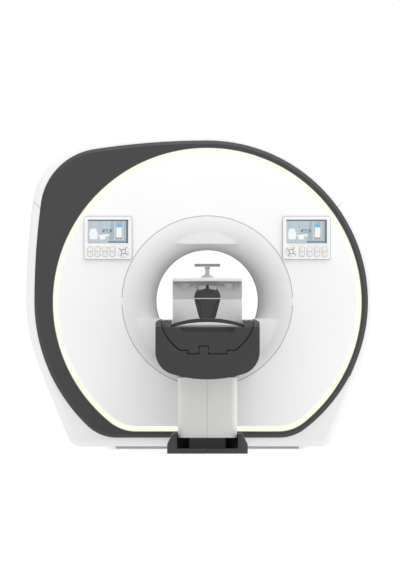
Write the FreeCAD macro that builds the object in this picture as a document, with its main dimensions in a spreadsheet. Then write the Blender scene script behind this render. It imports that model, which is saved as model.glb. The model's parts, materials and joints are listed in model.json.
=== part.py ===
"""Closed-bore MRI scanner with a lifting patient table, as a parametric FreeCAD document.

Millimetres. +Y runs into the bore, +X to the right of someone who faces the machine, +Z up.
The origin lies on the floor under the middle of the bore. Every size is a cell of the sheet,
and every sub-part is an object whose sizes are bound to those cells.
"""
import FreeCAD, Part
import math
import os
import Sketcher
from FreeCAD import Placement, Rotation, Vector

SIZES = [
    # gantry
    ("axis_height", 1000, "bore axis above the floor"),
    ("gantry_half_length", 850, "bore centre to the front or rear covers"),
    ("cover_floor_gap", 18, "daylight under the covers"),
    ("right_radius", 1085, "front outline, right side, about the bore axis"),
    ("left_radius", 1167, "front outline, lower left side, about the bore axis"),
    ("soft_radius", 5000, "nearly flat arcs of the raised left shoulder"),
    ("shoulder_radius", 425, "corner of the raised left shoulder"),
    ("nose_radius", 56, "rounded edge round the front and rear of the covers"),
    ("flank_lean", 22.5, "lean of the lower sides from upright, in degrees"),
    ("foot_radius", 32, "corner where a lower side meets the floor line"),
    ("cover_wall", 8, "cover moulding wall"),
    ("cover_parting", 3, "gap between neighbouring covers"),
    ("split_height", 675, "top cover's parting line above the bore axis"),
    ("split_left", 1176, "parting line from the axis, left"),
    ("split_right", 920, "parting line from the axis, right"),
    ("fit_gap", 0.3, "gap between pieces that sit together"),
    # front
    ("bezel_proud", 22, "dark bezel ahead of the covers"),
    ("bezel_bottom", 921, "flat lower edge of the bezel below the axis"),
    ("bezel_foot", 285, "lower corners of the bezel"),
    ("strip_radius", 1040, "outer edge of the light strip"),
    ("strip_drop", 7, "centre of the light strip below the axis"),
    ("strip_bottom", 877, "flat lower edge of the strip below the axis"),
    ("strip_foot", 277, "lower corners of the light strip"),
    ("strip_width", 34, "light strip"),
    ("strip_recess", 3, "light strip behind the bezel's face"),
    ("strip_line", 4, "dark line between bezel and strip"),
    ("frame_plate", 6, "sheet of the cover frames"),
    ("post_radius", 30, "posts between magnet and cover frames"),
    ("post_circle", 760, "circle of the posts"),
    # bore
    ("bore_radius", 350, "patient bore"),
    ("flare_radius", 226, "curve of the bore's flared ends"),
    ("flare_wall", 8, "flare moulding wall"),
    ("brow_above_bore", 37, "underside of the brow above the bore's wall"),
    ("brow_height", 121, "brow, from its underside to its top"),
    ("brow_front", 20, "top of the brow behind the front face"),
    ("brow_lean", 22, "underside of the brow behind its top"),
    ("dock_top", 118, "ledge of the table dock below the axis"),
    ("dock_front", 13, "dock face behind the front face"),
    ("dock_gap", 9, "cradle passage in the dock, each side of the cradle"),
    ("dock_floor", 240, "cradle passage floor below the axis"),
    ("liner_wall", 10, "bore liner tube"),
    ("bridge_plate", 24, "bridge that carries the cradle in the bore"),
    ("bridge_half_width", 250, "bridge, half its width"),
    ("bridge_leg", 120, "bridge leg from the middle"),
    ("bridge_end", 600, "rear end of the bridge from the bore centre"),
    # magnet
    ("magnet_radius", 930, "vacuum vessel"),
    ("magnet_half_length", 750, "vacuum vessel, half its length"),
    ("body_coil_wall", 24.4, "body radio coil, wall"),
    ("gradient_wall", 64.7, "gradient coil, wall"),
    ("gradient_half_length", 620, "gradient coil, half its length"),
    ("body_coil_half_length", 350, "body radio coil, half its length"),
    ("turret_top", 1040, "service turret above the axis"),
    ("turret_half", 160, "service turret, half its width"),
    ("cold_head_radius", 55, "cold head"),
    ("cold_head_height", 80, "cold head above the turret"),
    ("floor_plate", 12, "steel floor plates"),
    ("frame_half_width", 620, "floor frame, half its width"),
    ("frame_half_length", 700, "floor frame, half its length"),
    ("saddle_inner", 350, "magnet saddle, inner side"),
    ("saddle_outer", 560, "magnet saddle, outer side"),
    ("anchor_radius", 11, "floor anchor holes"),
    ("anchor_x", 590, "floor anchors from the middle, sideways"),
    ("anchor_y", 640, "floor anchors from the middle, lengthways"),
    # control panels
    ("panel_x", 669.5, "panel centre from the axis"),
    ("panel_z", 427, "panel centre above the axis"),
    ("panel_depth", 28, "panel ahead of the front face"),
    ("panel_corner", 13, "panel corners"),
    ("screen_half_width", 137, "screen, half its width"),
    ("screen_half_height", 80, "screen, half its height"),
    ("screen_side_border", 23, "panel beside the screen"),
    ("screen_top_border", 21, "panel above the screen"),
    ("screen_depth", 6, "screen pocket"),
    ("keys_drop", 56, "keys below the screen's lower edge"),
    ("keys_rise", 51, "keys above the panel's lower edge"),
    ("rocker_side", 39, "outermost rocker from the panel's side"),
    ("rocker_pitch", 50.5, "rocker to rocker"),
    ("rocker_lobe", 17.5, "round end of a rocker"),
    ("rocker_spread", 15.5, "round end from the rocker's middle"),
    ("rocker_gap", 1.2, "gap round a rocker"),
    ("key_well", 15, "depth of the key wells"),
    ("key_float", 4, "room behind the keys"),
    ("key_proud", 5, "keys ahead of the panel"),
    ("pad_side", 55.5, "arrow pad from the panel's other side"),
    ("pad_radius", 37.5, "arrow pad"),
    ("pad_inner", 17, "inside of the arrow keys"),
    ("pad_button", 13, "centre button"),
    ("pad_gap", 0.5, "gap round the pad's keys"),
    ("arrow_angle", 80, "angle that an arrow key covers, in degrees"),
    # table
    ("table_foot", 3250, "foot end ahead of the bore centre"),
    ("table_gap", 13, "table to front face"),
    ("shoulder_width", 35, "table shoulder beside the trough"),
    ("hull_side", 326, "where the hull's corners start below the axis"),
    ("hull_bottom", 504, "underside of the hull below the axis"),
    ("hull_corner", 150, "lower corners of the hull"),
    ("hull_wall", 10, "table body wall"),
    ("shoulder_drop", 122, "top of the table's shoulders below the axis"),
    ("shoulder_edge", 22, "rounded outer edge of the shoulders"),
    ("panel_drop", 165, "top of the foot panel below the axis"),
    ("cradle_margin", 47, "half of the bore less half of the trough"),
    ("trough_lean", 6, "how far the trough's wall leans in before it curves"),
    ("trough_mid_drop", 172, "where the trough starts to curve, below the axis"),
    ("trough_side", 121, "trough's side, from its top edge in to the floor step"),
    ("trough_low_drop", 318, "floor step of the trough below the axis"),
    ("trough_curve", 346, "side curve of the trough"),
    ("keel_half", 130, "keel groove, half its width"),
    ("keel_drop", 341, "keel groove below the axis"),
    ("rail_left", 53, "guide rail, left side from the middle"),
    ("rail_right", 2, "guide rail, right side from the middle"),
    ("rail_drop", 291, "top of the guide rail below the axis"),
    ("cap_gap", 4, "gap round the cradle's end cap"),
    ("cap_depth", 50, "end cap, front to back"),
    ("grip_half_top", 180, "grip recess, half its width at the top"),
    ("grip_half_low", 168, "grip recess, half its width at the bottom"),
    ("grip_height", 31, "grip recess"),
    ("grip_depth", 35, "grip recess, front to back"),
    ("front_slope", 60, "length of the sloped front of the shoulders"),
    # cradle
    ("tray_gap", 0.4, "cradle to trough wall"),
    ("tray_top", 124, "top of the cradle's rails below the axis"),
    ("tray_shoulder", 150, "lower edge of the cradle's sides below the axis"),
    ("tray_bottom", 215, "underside of the cradle below the axis"),
    ("tray_bevel", 48, "cradle's sloping lower edge, sideways"),
    ("tray_floor", 190, "lying surface below the axis"),
    ("tray_rail", 67, "cradle's rail, side to side"),
    ("strap_groove_in", 31, "strap groove from the trough's top edge"),
    ("strap_groove_size", 8, "strap groove, half its width and its depth"),
    ("tray_short", 5, "cradle's head end short of the table's"),
    ("bridge_gap", 0.5, "cradle above the bridge"),
    ("mattress_thickness", 50, "mattress"),
    ("mattress_side_gap", 3, "mattress to rails"),
    ("handle_beyond", 28, "push handle's arc carried on past the rails"),
    ("handle_rise", 58, "push handle above the end cap"),
    ("handle_foot", 24, "foot of the push handle, side to side"),
    ("handle_inner_rise", 32, "opening under the handle above the end cap"),
    ("handle_depth", 32, "push handle, front to back"),
    # head coil
    ("coil_side_gap", 4, "head coil to rails"),
    ("coil_front", 1400, "head coil ahead of the bore centre"),
    ("coil_length", 330, "head coil, front to back"),
    ("coil_back_wall", 50, "closed back of the head coil"),
    ("coil_split", 16, "joint of the two coil halves above the axis"),
    ("coil_top_height", 158, "top of the head coil above the axis"),
    ("head_half", 89, "head opening, half its width"),
    ("head_centre", 20, "centre of the opening's round top above the axis"),
    ("head_low_half", 56, "lower part of the opening, half its width"),
    ("head_low_drop", 108, "lower part of the opening below the axis"),
    ("head_floor_half", 30, "floor of the opening, half its width"),
    ("head_floor_drop", 132, "floor of the opening below the axis"),
    ("pad_thickness", 18, "foam round the head"),
    ("mirror_y", 1330, "mirror ahead of the bore centre"),
    ("mirror_pivot", 224, "mirror pivot above the axis"),
    ("mirror_lift", 8, "mirror plate above its pivot"),
    ("mirror_half_width", 86, "mirror, half its width"),
    ("mirror_half_depth", 45, "mirror, half its depth"),
    ("mirror_thickness", 19, "mirror"),
    ("pivot_radius", 5, "mirror pivot pin"),
    ("pivot_clearance", 0.1, "pivot pin in its ears"),
    ("pivot_half_length", 26, "mirror pivot pin, half its length"),
    ("ear_inner", 14, "mirror ear, inner side from the middle"),
    ("ear_outer", 24, "mirror ear, outer side from the middle"),
    ("stem_half_width", 12, "mirror stem, half its width"),
    ("stem_half_depth", 6, "mirror stem, half its depth"),
    ("stem_foot_radius", 43, "mirror stem foot"),
    ("stem_foot_height", 25, "mirror stem foot"),
    # lift column and base
    ("column_y", 2070, "lift column ahead of the bore centre"),
    ("column_half_width", 195, "column cover, half its width"),
    ("column_half_depth", 310, "column cover, half its depth"),
    ("column_corner", 45, "column cover's upright edges"),
    ("column_wall", 5, "column cover wall"),
    ("column_bottom", 104, "lower edge of the column cover above the floor"),
    ("column_overlap", 4, "column cover up past the hull's underside"),
    ("column_seam", 1, "seam between the cover halves"),
    ("stage_outer", 120, "fixed lift stage, half its width"),
    ("stage_middle", 100, "middle lift stage, half its width"),
    ("stage_inner", 80, "inner lift stage, half its width"),
    ("stage_bore", 60, "bore of the inner stage, half its width"),
    ("stage_outer_top", 340, "top of the fixed stage above the floor"),
    ("stage_middle_bottom", 110, "foot of the middle stage above the floor"),
    ("column_flange_drop", 10, "flange below the column cover's upper edge"),
    ("stage_inner_bottom", 260, "foot of the inner stage above the floor"),
    ("stage_flange", 11, "flange on the inner stage"),
    ("column_flange", 20, "flange that carries the column cover"),
    ("spindle_radius", 20, "lift spindle"),
    ("spindle_top", 400, "top of the lift spindle above the floor"),
    ("base_side_width", 65, "base beside its well"),
    ("base_front", 2450, "front of the base ahead of the bore centre"),
    ("base_rear", 1690, "rear of the base ahead of the bore centre"),
    ("base_height", 130, "base above the floor"),
    ("base_side", 58, "upright part of the base's sides"),
    ("base_top_width", 28, "flat top of the base beside its well"),
    ("base_well_gap", 5, "well in the base to the column cover"),
    ("base_lip", 35, "front lip of the base above the floor"),
    ("base_lip_depth", 50, "front lip of the base, front to back"),
    ("base_seam", 2, "seam between the base halves"),
    ("base_plate_half", 180, "floor plate of the table, half its width"),
    ("base_plate_front", 2440, "floor plate of the table ahead of the bore centre"),
]

doc = FreeCAD.newDocument("mri_scanner")
sheet = doc.addObject("Spreadsheet::Sheet", "Sizes")


class Size:
    """A number that keeps the sheet formula it was worked out with."""

    def __init__(self, number, formula):
        self.number = number
        self.formula = formula

    def __add__(self, other):
        other = as_size(other)
        return Size(self.number + other.number, f"({self.formula} + {other.formula})")

    def __sub__(self, other):
        other = as_size(other)
        return Size(self.number - other.number, f"({self.formula} - {other.formula})")

    def __mul__(self, other):
        other = as_size(other)
        return Size(self.number * other.number, f"({self.formula} * {other.formula})")

    def __truediv__(self, other):
        other = as_size(other)
        return Size(self.number / other.number, f"({self.formula} / {other.formula})")

    def __neg__(self):
        return Size(-self.number, f"(0 - {self.formula})")

    def __radd__(self, other):
        return as_size(other) + self

    def __rsub__(self, other):
        return as_size(other) - self

    def __rmul__(self, other):
        return as_size(other) * self


def as_size(value):
    """A plain number as a Size with no cell behind it."""
    if isinstance(value, Size):
        return value
    return Size(float(value), f"({float(value)!r})")


def root(value):
    """Square root of a Size."""
    return Size(math.sqrt(value.number), f"sqrt({value.formula})")


def cosine(degrees):
    """Cosine of a Size in degrees."""
    return Size(math.cos(math.radians(degrees.number)), f"cos({degrees.formula} * 1 deg)")


def sine(degrees):
    """Sine of a Size in degrees."""
    return Size(math.sin(math.radians(degrees.number)), f"sin({degrees.formula} * 1 deg)")


class Cells:
    """The sheet's cells by name, as Size values."""


s = Cells()
for row, (alias, number, meaning) in enumerate(SIZES, start=1):
    sheet.set(f"A{row}", meaning)
    sheet.set(f"B{row}", str(number))
    sheet.setAlias(f"B{row}", alias)
    setattr(s, alias, Size(number, f"Sizes.{alias}"))
doc.recompute()

# widths that follow the bore, and lengths that follow the gantry
brow_bottom = s.bore_radius + s.brow_above_bore
body_coil_inner = s.bore_radius + s.liner_wall + s.fit_gap
gradient_inner = body_coil_inner + s.body_coil_wall + s.fit_gap
magnet_bore = gradient_inner + s.gradient_wall + s.fit_gap
trough_top_half = s.bore_radius - s.cradle_margin
trough_mid_half = trough_top_half - s.trough_lean
trough_low_half = trough_top_half - s.trough_side
hull_half_width = trough_top_half + s.shoulder_width
tray_rail_half = trough_top_half - s.tray_rail
dock_half_width = trough_top_half + s.dock_gap
table_head = s.gantry_half_length + s.bezel_proud + s.table_gap
base_well_half = s.column_half_width + s.base_well_gap
base_half_width = base_well_half + s.base_side_width
column_top = s.axis_height - s.hull_bottom + s.column_overlap
stage_middle_top = column_top - s.column_flange_drop
panel_half_width = s.screen_half_width + s.screen_side_border
panel_half_height = (s.screen_top_border + s.screen_half_height * 2 + s.keys_drop + s.keys_rise) / 2

nodes = {}


# ---- small tools ----------------------------------------------------------------------------

def bind(thing, path, value):
    """Tie one property to the sheet."""
    thing.setExpression(path, as_size(value).formula)


def keep(name, thing):
    """Make an object a sub-part of the machine, under its node name."""
    thing.Label = name
    nodes[name] = thing
    return thing


def origin_plane(body, role):
    return next(item for item in body.Origin.OriginFeatures if item.Role == role)


def sketch_on(body, role, offset):
    """An empty sketch on one of the body's own planes, moved along the plane's normal."""
    sketch = body.newObject("Sketcher::SketchObject", body.Name + "_sketch")
    sketch.AttachmentSupport = [(origin_plane(body, role), "")]
    sketch.MapMode = "FlatFace"
    sketch.AttachmentOffset = Placement(Vector(0, 0, as_size(offset).number), Rotation())
    bind(sketch, "AttachmentOffset.Base.z", offset)
    return sketch


def limit(sketch, *parts):
    return sketch.addConstraint(Sketcher.Constraint(*parts))


def place(sketch, piece, point, across, up):
    """Hold a sketch point at its distances from the sketch's origin."""
    for kind, axis, value in (("DistanceX", -2, as_size(across)), ("DistanceY", -1, as_size(up))):
        if value.number == 0:
            limit(sketch, "PointOnObject", piece, point, axis)
        else:
            index = limit(sketch, kind, -1, 1, piece, point, value.number)
            sketch.setExpression(f"Constraints[{index}]", value.formula)


def arc_between(start, end, radius, turn):
    """The short arc from start to end: it turns left for turn 1, and right for turn -1."""
    chord = end - start
    rise = math.sqrt(max(radius ** 2 - (chord.Length / 2) ** 2, 0))
    aside = Vector(-chord.y, chord.x, 0).normalize() * rise * turn
    centre = (start + end) * 0.5 + aside
    first, last = (start, end) if turn > 0 else (end, start)
    angles = [math.atan2(p.y - centre.y, p.x - centre.x) for p in (first, last)]
    if angles[1] < angles[0]:
        angles[1] += 2 * math.pi
    return Part.ArcOfCircle(Part.Circle(centre, Vector(0, 0, 1), radius), *angles)


def draw(sketch, corners):
    """Draw a closed outline. A corner is (across, up), or (across, up, radius, turn) after an arc."""
    first = sketch.GeometryCount
    count = len(corners)
    spots = [Vector(as_size(c[0]).number, as_size(c[1]).number, 0) for c in corners]
    ends = []
    for index, corner in enumerate(corners):
        start, end = spots[index - 1], spots[index]
        if len(corner) == 2:
            sketch.addGeometry(Part.LineSegment(start, end), False)
            ends.append((1, 2))
        else:
            radius, turn = as_size(corner[2]), corner[3]
            sketch.addGeometry(arc_between(start, end, radius.number, turn), False)
            ends.append((1, 2) if turn > 0 else (2, 1))
    for index, corner in enumerate(corners):
        here, after = first + index, first + (index + 1) % count
        limit(sketch, "Coincident", here, ends[index][1], after, ends[(index + 1) % count][0])
        place(sketch, here, ends[index][1], corner[0], corner[1])
        if len(corner) == 4:
            radius = as_size(corner[2])
            tie = limit(sketch, "Radius", here, radius.number)
            sketch.setExpression(f"Constraints[{tie}]", radius.formula)


def draw_circle(sketch, across, up, radius):
    centre = Vector(as_size(across).number, as_size(up).number, 0)
    circle = Part.Circle(centre, Vector(0, 0, 1), as_size(radius).number)
    piece = sketch.addGeometry(circle, False)
    place(sketch, piece, 3, across, up)
    tie = limit(sketch, "Radius", piece, as_size(radius).number)
    sketch.setExpression(f"Constraints[{tie}]", as_size(radius).formula)


def prism(name, corners, start, end, role="XZ_Plane", holes=()):
    """A body padded from start to end along +Y (or along the plane's own normal)."""
    body = doc.addObject("PartDesign::Body", name)
    lengthways = role == "XZ_Plane"
    sketch = sketch_on(body, role, -as_size(start) if lengthways else as_size(start))
    draw(sketch, corners)
    for hole in holes:
        draw_circle(sketch, *hole)
    pad = body.newObject("PartDesign::Pad", name + "_pad")
    pad.Profile = sketch
    pad.Reversed = lengthways
    bind(pad, "Length", as_size(end) - start)
    doc.recompute()
    return body


def edges_where(thing, test):
    """Names of the edges whose every vertex passes the test."""
    edges = thing.Shape.Edges
    return [f"Edge{i}" for i, edge in enumerate(edges, 1) if all(test(v) for v in edge.Vertexes)]


def dress(body, kind, size_name, size, test):
    """Fillet or chamfer the edges of a body's tip whose every vertex passes the test."""
    base = body.Tip
    feature = body.newObject("PartDesign::" + kind, f"{body.Name}_{kind.lower()}")
    feature.Base = (base, edges_where(base, test))
    bind(feature, size_name, size)
    doc.recompute()
    return body


def box(name, across, along, up):
    """A block from (low, high) pairs along X, Y and Z."""
    block = doc.addObject("Part::Box", name)
    spans = zip("xyz", ("Length", "Width", "Height"), (across, along, up))
    for axis, side, (low, high) in spans:
        bind(block, "Placement.Base." + axis, low)
        bind(block, side, as_size(high) - low)
    return block


TURNS = {"x": Rotation(Vector(0, 1, 0), 90), "y": Rotation(Vector(1, 0, 0), -90), "z": Rotation()}


def cylinder(name, radius, axis, start, length):
    """A cylinder along one axis from the middle of its first end."""
    rod = doc.addObject("Part::Cylinder", name)
    rod.Placement = Placement(Vector(), TURNS[axis])
    bind(rod, "Radius", radius)
    bind(rod, "Height", length)
    for letter, value in zip("xyz", start):
        bind(rod, "Placement.Base." + letter, value)
    return rod


def cut(name, base, *tools):
    result = doc.addObject("Part::Cut", name)
    result.Base = base
    result.Tool = tools[0] if len(tools) == 1 else fuse(name + "_tools", *tools)
    return result


def fuse(name, *things):
    result = doc.addObject("Part::MultiFuse", name)
    result.Shapes = list(things)
    return result


def common(name, *things):
    result = doc.addObject("Part::MultiCommon", name)
    result.Shapes = list(things)
    return result


def tube(name, outer, inner, start, end):
    """A ring about the bore axis."""
    length = as_size(end) - start
    whole = cylinder(name + "_outer", outer, "y", (0, start, s.axis_height), length)
    hole = cylinder(name + "_inner", inner, "y", (0, start, s.axis_height), length)
    return cut(name, whole, hole)


def turned(name, corners):
    """A body turned about the bore axis from an outline of (along, above the axis) corners."""
    body = doc.addObject("PartDesign::Body", name)
    sketch = sketch_on(body, "YZ_Plane", 0)
    draw(sketch, [(c[0], s.axis_height + c[1]) + tuple(c[2:]) for c in corners])
    height = s.axis_height
    ends = [Vector(y, height.number, 0) for y in (0, 100)]
    axis = sketch.addGeometry(Part.LineSegment(*ends), True)
    for point, along in ((1, 0), (2, 100)):
        place(sketch, axis, point, along, height)
    spin = body.newObject("PartDesign::Revolution", name + "_turn")
    spin.Profile = sketch
    spin.ReferenceAxis = (sketch, ["Axis0"])
    spin.Angle = 360
    doc.recompute()
    return body


def rounded_box_outline(left, right, low, high, radius):
    """A rectangle with four equal round corners, anticlockwise."""
    return [
        (right - radius, low), (right, low + radius, radius, 1),
        (right, high - radius), (right - radius, high, radius, 1),
        (left + radius, high), (left, high - radius, radius, 1),
        (left, low + radius), (left + radius, low, radius, 1),
    ]


# ---- outlines of the gantry ------------------------------------------------------------------

def shoulder_corners(grow):
    """Top of the outline: right arc, flat top, round left shoulder and flat left side."""
    flat_x = s.soft_radius - s.left_radius
    flat_z = s.right_radius - s.soft_radius
    reach = s.soft_radius - s.shoulder_radius
    apart = root(flat_x * flat_x + flat_z * flat_z)
    aside = root(reach * reach - apart * apart / 4)
    centre_x = flat_x / 2 + flat_z * aside / apart
    centre_z = flat_z / 2 + flat_x * aside / apart
    scale = (s.soft_radius + grow) / reach
    shoulder = s.shoulder_radius + grow
    return [
        (0, s.axis_height + s.right_radius + grow, s.right_radius + grow, 1),
        (centre_x * scale, s.axis_height + flat_z + (centre_z - flat_z) * scale,
         s.soft_radius + grow, 1),
        (flat_x + (centre_x - flat_x) * scale, s.axis_height + centre_z * scale, shoulder, 1),
        (-(s.left_radius + grow), s.axis_height, s.soft_radius + grow, 1),
    ]


def foot_corner(radius, bottom, foot, side):
    """Where a round foot touches the big circle and the flat bottom: (on circle, on flat)."""
    centre_x = root((radius - foot) * (radius - foot) - (bottom - foot) * (bottom - foot)) * side
    scale = radius / (radius - foot)
    return (centre_x * scale, (foot - bottom) * scale), (centre_x, -bottom)


def bezel_outline(grow):
    """Round front outline with the raised left shoulder and a flat bottom, anticlockwise."""
    bottom, foot = s.bezel_bottom + grow, s.bezel_foot + grow
    right = foot_corner(s.right_radius + grow, bottom, foot, 1)
    left = foot_corner(s.left_radius + grow, bottom, foot, -1)
    up = s.axis_height
    return shoulder_corners(grow) + [
        (left[0][0], up + left[0][1], s.left_radius + grow, 1),
        (left[1][0], up + left[1][1], foot, 1),
        (right[1][0], up + right[1][1]),
        (right[0][0], up + right[0][1], foot, 1),
    ]


def cover_outline(grow):
    """Outline of the covers: as the bezel's, but with straight leaning sides to the floor."""
    tilt_x, tilt_z = cosine(s.flank_lean), sine(s.flank_lean)
    foot = s.foot_radius + grow
    bottom = s.axis_height - s.cover_floor_gap - s.nose_radius + grow
    corners = shoulder_corners(grow)
    spots = []
    for radius, side in ((s.left_radius + grow, -1), (s.right_radius + grow, 1)):
        centre_x = (radius - foot + (foot - bottom) * tilt_z) / tilt_x
        flank = (radius * tilt_x * side, s.axis_height - radius * tilt_z)
        on_flank = ((centre_x + foot * tilt_x) * side, s.axis_height + foot - bottom - foot * tilt_z)
        on_floor = (centre_x * side, s.axis_height - bottom)
        spots.append((flank, on_flank, on_floor))
    left, right = spots
    return corners + [
        left[0] + (s.left_radius + grow, 1), left[1], left[2] + (foot, 1),
        right[2], right[1] + (foot, 1), right[0],
    ]


def strip_outline(inset):
    """Round outline with a flat bottom, for the light strip and the white front face."""
    radius, foot = s.strip_radius - inset, s.strip_foot - inset
    bottom = s.strip_bottom - s.strip_drop - inset
    up = s.axis_height - s.strip_drop
    right = foot_corner(radius, bottom, foot, 1)
    left = foot_corner(radius, bottom, foot, -1)
    return [
        (radius, up, radius, 1), (0, up + radius, radius, 1), (-radius, up, radius, 1),
        (left[0][0], up + left[0][1], radius, 1), (left[1][0], up + left[1][1], foot, 1),
        (right[1][0], up + right[1][1]), (right[0][0], up + right[0][1], foot, 1),
    ]


# ---- covers ----------------------------------------------------------------------------------

cover_front = -s.gantry_half_length
cover_rear = s.gantry_half_length
face_front = cover_front - s.bezel_proud
plates_back = cover_front + s.cover_wall
flare_mouth = s.bore_radius + s.flare_radius


def rounded_drum(name, grow, inset):
    """The gantry's whole outside, with its front and rear edges rounded."""
    drum = prism(name, cover_outline(grow), cover_front + inset, cover_rear - inset)
    reach = s.gantry_half_length.number - as_size(inset).number - 1
    return dress(drum, "Fillet", "Radius", grow, lambda vertex: abs(vertex.Y) > reach)


def split_region(name, gap):
    """Everything above the top cover's parting lines, which lean inwards and down."""
    reach, depth = 900, 400
    far = s.gantry_half_length + 100
    low, high = s.split_height + gap - depth, s.split_height + gap + reach
    up = s.axis_height
    corners = [
        (depth - s.split_left, up + low), (s.split_right - depth, up + low),
        (s.split_right + reach, up + high), (-s.split_left - reach, up + high),
    ]
    return prism(name, corners, -far, far)


def covers():
    outside = rounded_drum("cover_outside", s.nose_radius, 0)
    inside = rounded_drum("cover_inside", s.nose_radius - s.cover_wall, s.cover_wall)
    room = 40
    opening = cover_outline(0)
    front = prism("front_opening", opening, cover_front - room, cover_front + room)
    rear = prism("rear_opening", opening, cover_rear - room, cover_rear + room)
    half = s.gantry_half_length - s.nose_radius
    side = s.frame_half_width + 40
    floor = box("floor_opening", (-side, side), (-half, half), (0, s.cover_floor_gap * 3))
    shell = cut("cover_shell", outside, inside, front, rear, floor)
    top = split_region("top_region", s.cover_parting / 2)
    below = split_region("below_region", -s.cover_parting / 2)
    keep("top_cover", common("top_cover", shell, top))
    lower = cut("lower_shell", shell, below)
    wide = s.left_radius + s.nose_radius + 100
    far = s.gantry_half_length + 100
    tall = s.axis_height * 2
    seam = s.cover_parting / 2
    left = box("left_region", (-wide, -seam), (-far, far), (0, tall))
    right = box("right_region", (seam, wide), (-far, far), (0, tall))
    keep("left_side_cover", common("left_side_cover", lower, left))
    keep("right_side_cover", common("right_side_cover", lower, right))


def front_plates():
    """Bezel, light strip, white face and skirt, all on one frame."""
    bezel = prism("bezel_blank", bezel_outline(-s.fit_gap), face_front, plates_back)
    front = face_front.number
    dress(bezel, "Chamfer", "Size", s.bezel_proud - s.fit_gap, lambda v: abs(v.Y - front) < 0.01)
    hole = prism("bezel_hole", strip_outline(-s.strip_line), face_front - 1, plates_back + 1)
    keep("dark_bezel", cut("dark_bezel", bezel, hole))

    strip_front = face_front + s.strip_recess
    strip = prism("strip_blank", strip_outline(0), strip_front, plates_back)
    inner = prism("strip_hole", strip_outline(s.strip_width), face_front - 1, plates_back + 1)
    keep("light_strip", cut("light_strip", strip, inner))

    mouth = (0, s.axis_height, flare_mouth + s.fit_gap)
    outline = strip_outline(s.strip_width + s.fit_gap)
    keep("front_face", prism("front_face", outline, face_front, plates_back, holes=[mouth]))

    panel = prism("skirt_blank", cover_outline(-s.fit_gap), cover_front, plates_back)
    notch = prism("skirt_notch", bezel_outline(0), cover_front - 1, plates_back + 1)
    tip = s.axis_height - s.left_radius * sine(s.flank_lean) - 60
    wide = s.left_radius + 100
    upper = box("skirt_upper", (-wide, wide), (cover_front - 1, plates_back + 1), (tip, s.axis_height * 2.5))
    keep("front_skirt", cut("front_skirt", panel, notch, upper))


def cover_frame(name, sheet_near, sheet_far, post_from, post_to):
    """A sheet behind the front or rear plates, on eight posts from the magnet's end."""
    mouth = (0, s.axis_height, flare_mouth + s.fit_gap)
    sheet_body = prism(name + "_sheet", cover_outline(-2), sheet_near, sheet_far, holes=[mouth])
    posts = []
    for index in range(8):
        angle = math.radians(45 * index + 22.5)
        spot = (s.post_circle * math.cos(angle), post_from,
                s.axis_height + s.post_circle * math.sin(angle))
        posts.append(cylinder(f"{name}_post{index}", s.post_radius, "y", spot, post_to - post_from))
    keep(name, fuse(name, sheet_body, *posts))


def rear_plates():
    mouth = (0, s.axis_height, flare_mouth + s.fit_gap)
    outline = cover_outline(-s.fit_gap)
    keep("rear_cover", prism("rear_cover", outline, -plates_back, cover_rear, holes=[mouth]))


# ---- bore ------------------------------------------------------------------------------------

flare_end = face_front + s.flare_radius


def flare_profile(mouth, rim, direction):
    """Section of a flared bore end: its mouth at one end, and curved down to the bore."""
    curve = s.flare_radius
    skin = curve - s.flare_wall
    rim_run = s.flare_radius - rim
    rim_up = flare_mouth - root(skin * skin - rim_run * rim_run)
    end = mouth + curve * direction
    return [
        (mouth, flare_mouth), (end, s.bore_radius, curve, direction),
        (end, s.bore_radius + s.flare_wall), (mouth + rim * direction, rim_up, skin, -direction),
        (mouth + rim * direction, flare_mouth),
    ]


def flares():
    rim = s.bezel_proud + s.cover_wall + s.frame_plate
    trumpet = turned("front_trumpet", flare_profile(face_front, rim, 1))
    curve = s.flare_radius
    bite = s.flare_wall / 2
    cavity = turned("front_cavity", [
        (face_front + bite, 0), (face_front + bite, flare_mouth),
        (flare_end, s.bore_radius + bite, curve - bite, 1), (flare_end, 0),
    ])
    half = flare_mouth + 10
    brow_top = face_front + s.brow_front
    brow_low = brow_top + s.brow_lean
    brow_tilt = s.brow_lean / s.brow_height
    brow = prism("brow_block", [
        (brow_low, s.axis_height + brow_bottom), (flare_end, s.axis_height + brow_bottom),
        (flare_end, s.axis_height + half),
        (brow_low - brow_tilt * (half - brow_bottom), s.axis_height + half),
    ], -half, half, role="YZ_Plane")
    dock = box("dock_block", (-half, half), (face_front + s.dock_front, flare_end),
               (s.axis_height - half, s.axis_height - s.dock_top))
    filling = common("front_filling", cavity, fuse("filling_blocks", brow, dock))
    passage = box("cradle_passage", (-dock_half_width, dock_half_width),
                  (face_front - 1, flare_end + 1),
                  (s.axis_height - s.dock_floor, s.axis_height))
    bore = cylinder("bore_clear", s.bore_radius, "y", (0, face_front - 1, s.axis_height),
                    s.flare_radius + 2)
    above = cut("bore_above", bore, box("bore_low", (-half, half), (face_front - 2, flare_end + 2),
                                        (0, s.axis_height - s.dock_top)))
    keep("front_flare", cut("front_flare", fuse("front_flare_whole", trumpet, filling),
                            passage, above))
    rear_rim = s.cover_wall + s.frame_plate
    keep("rear_flare", turned("rear_flare", flare_profile(cover_rear, rear_rim, -1)))


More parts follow.
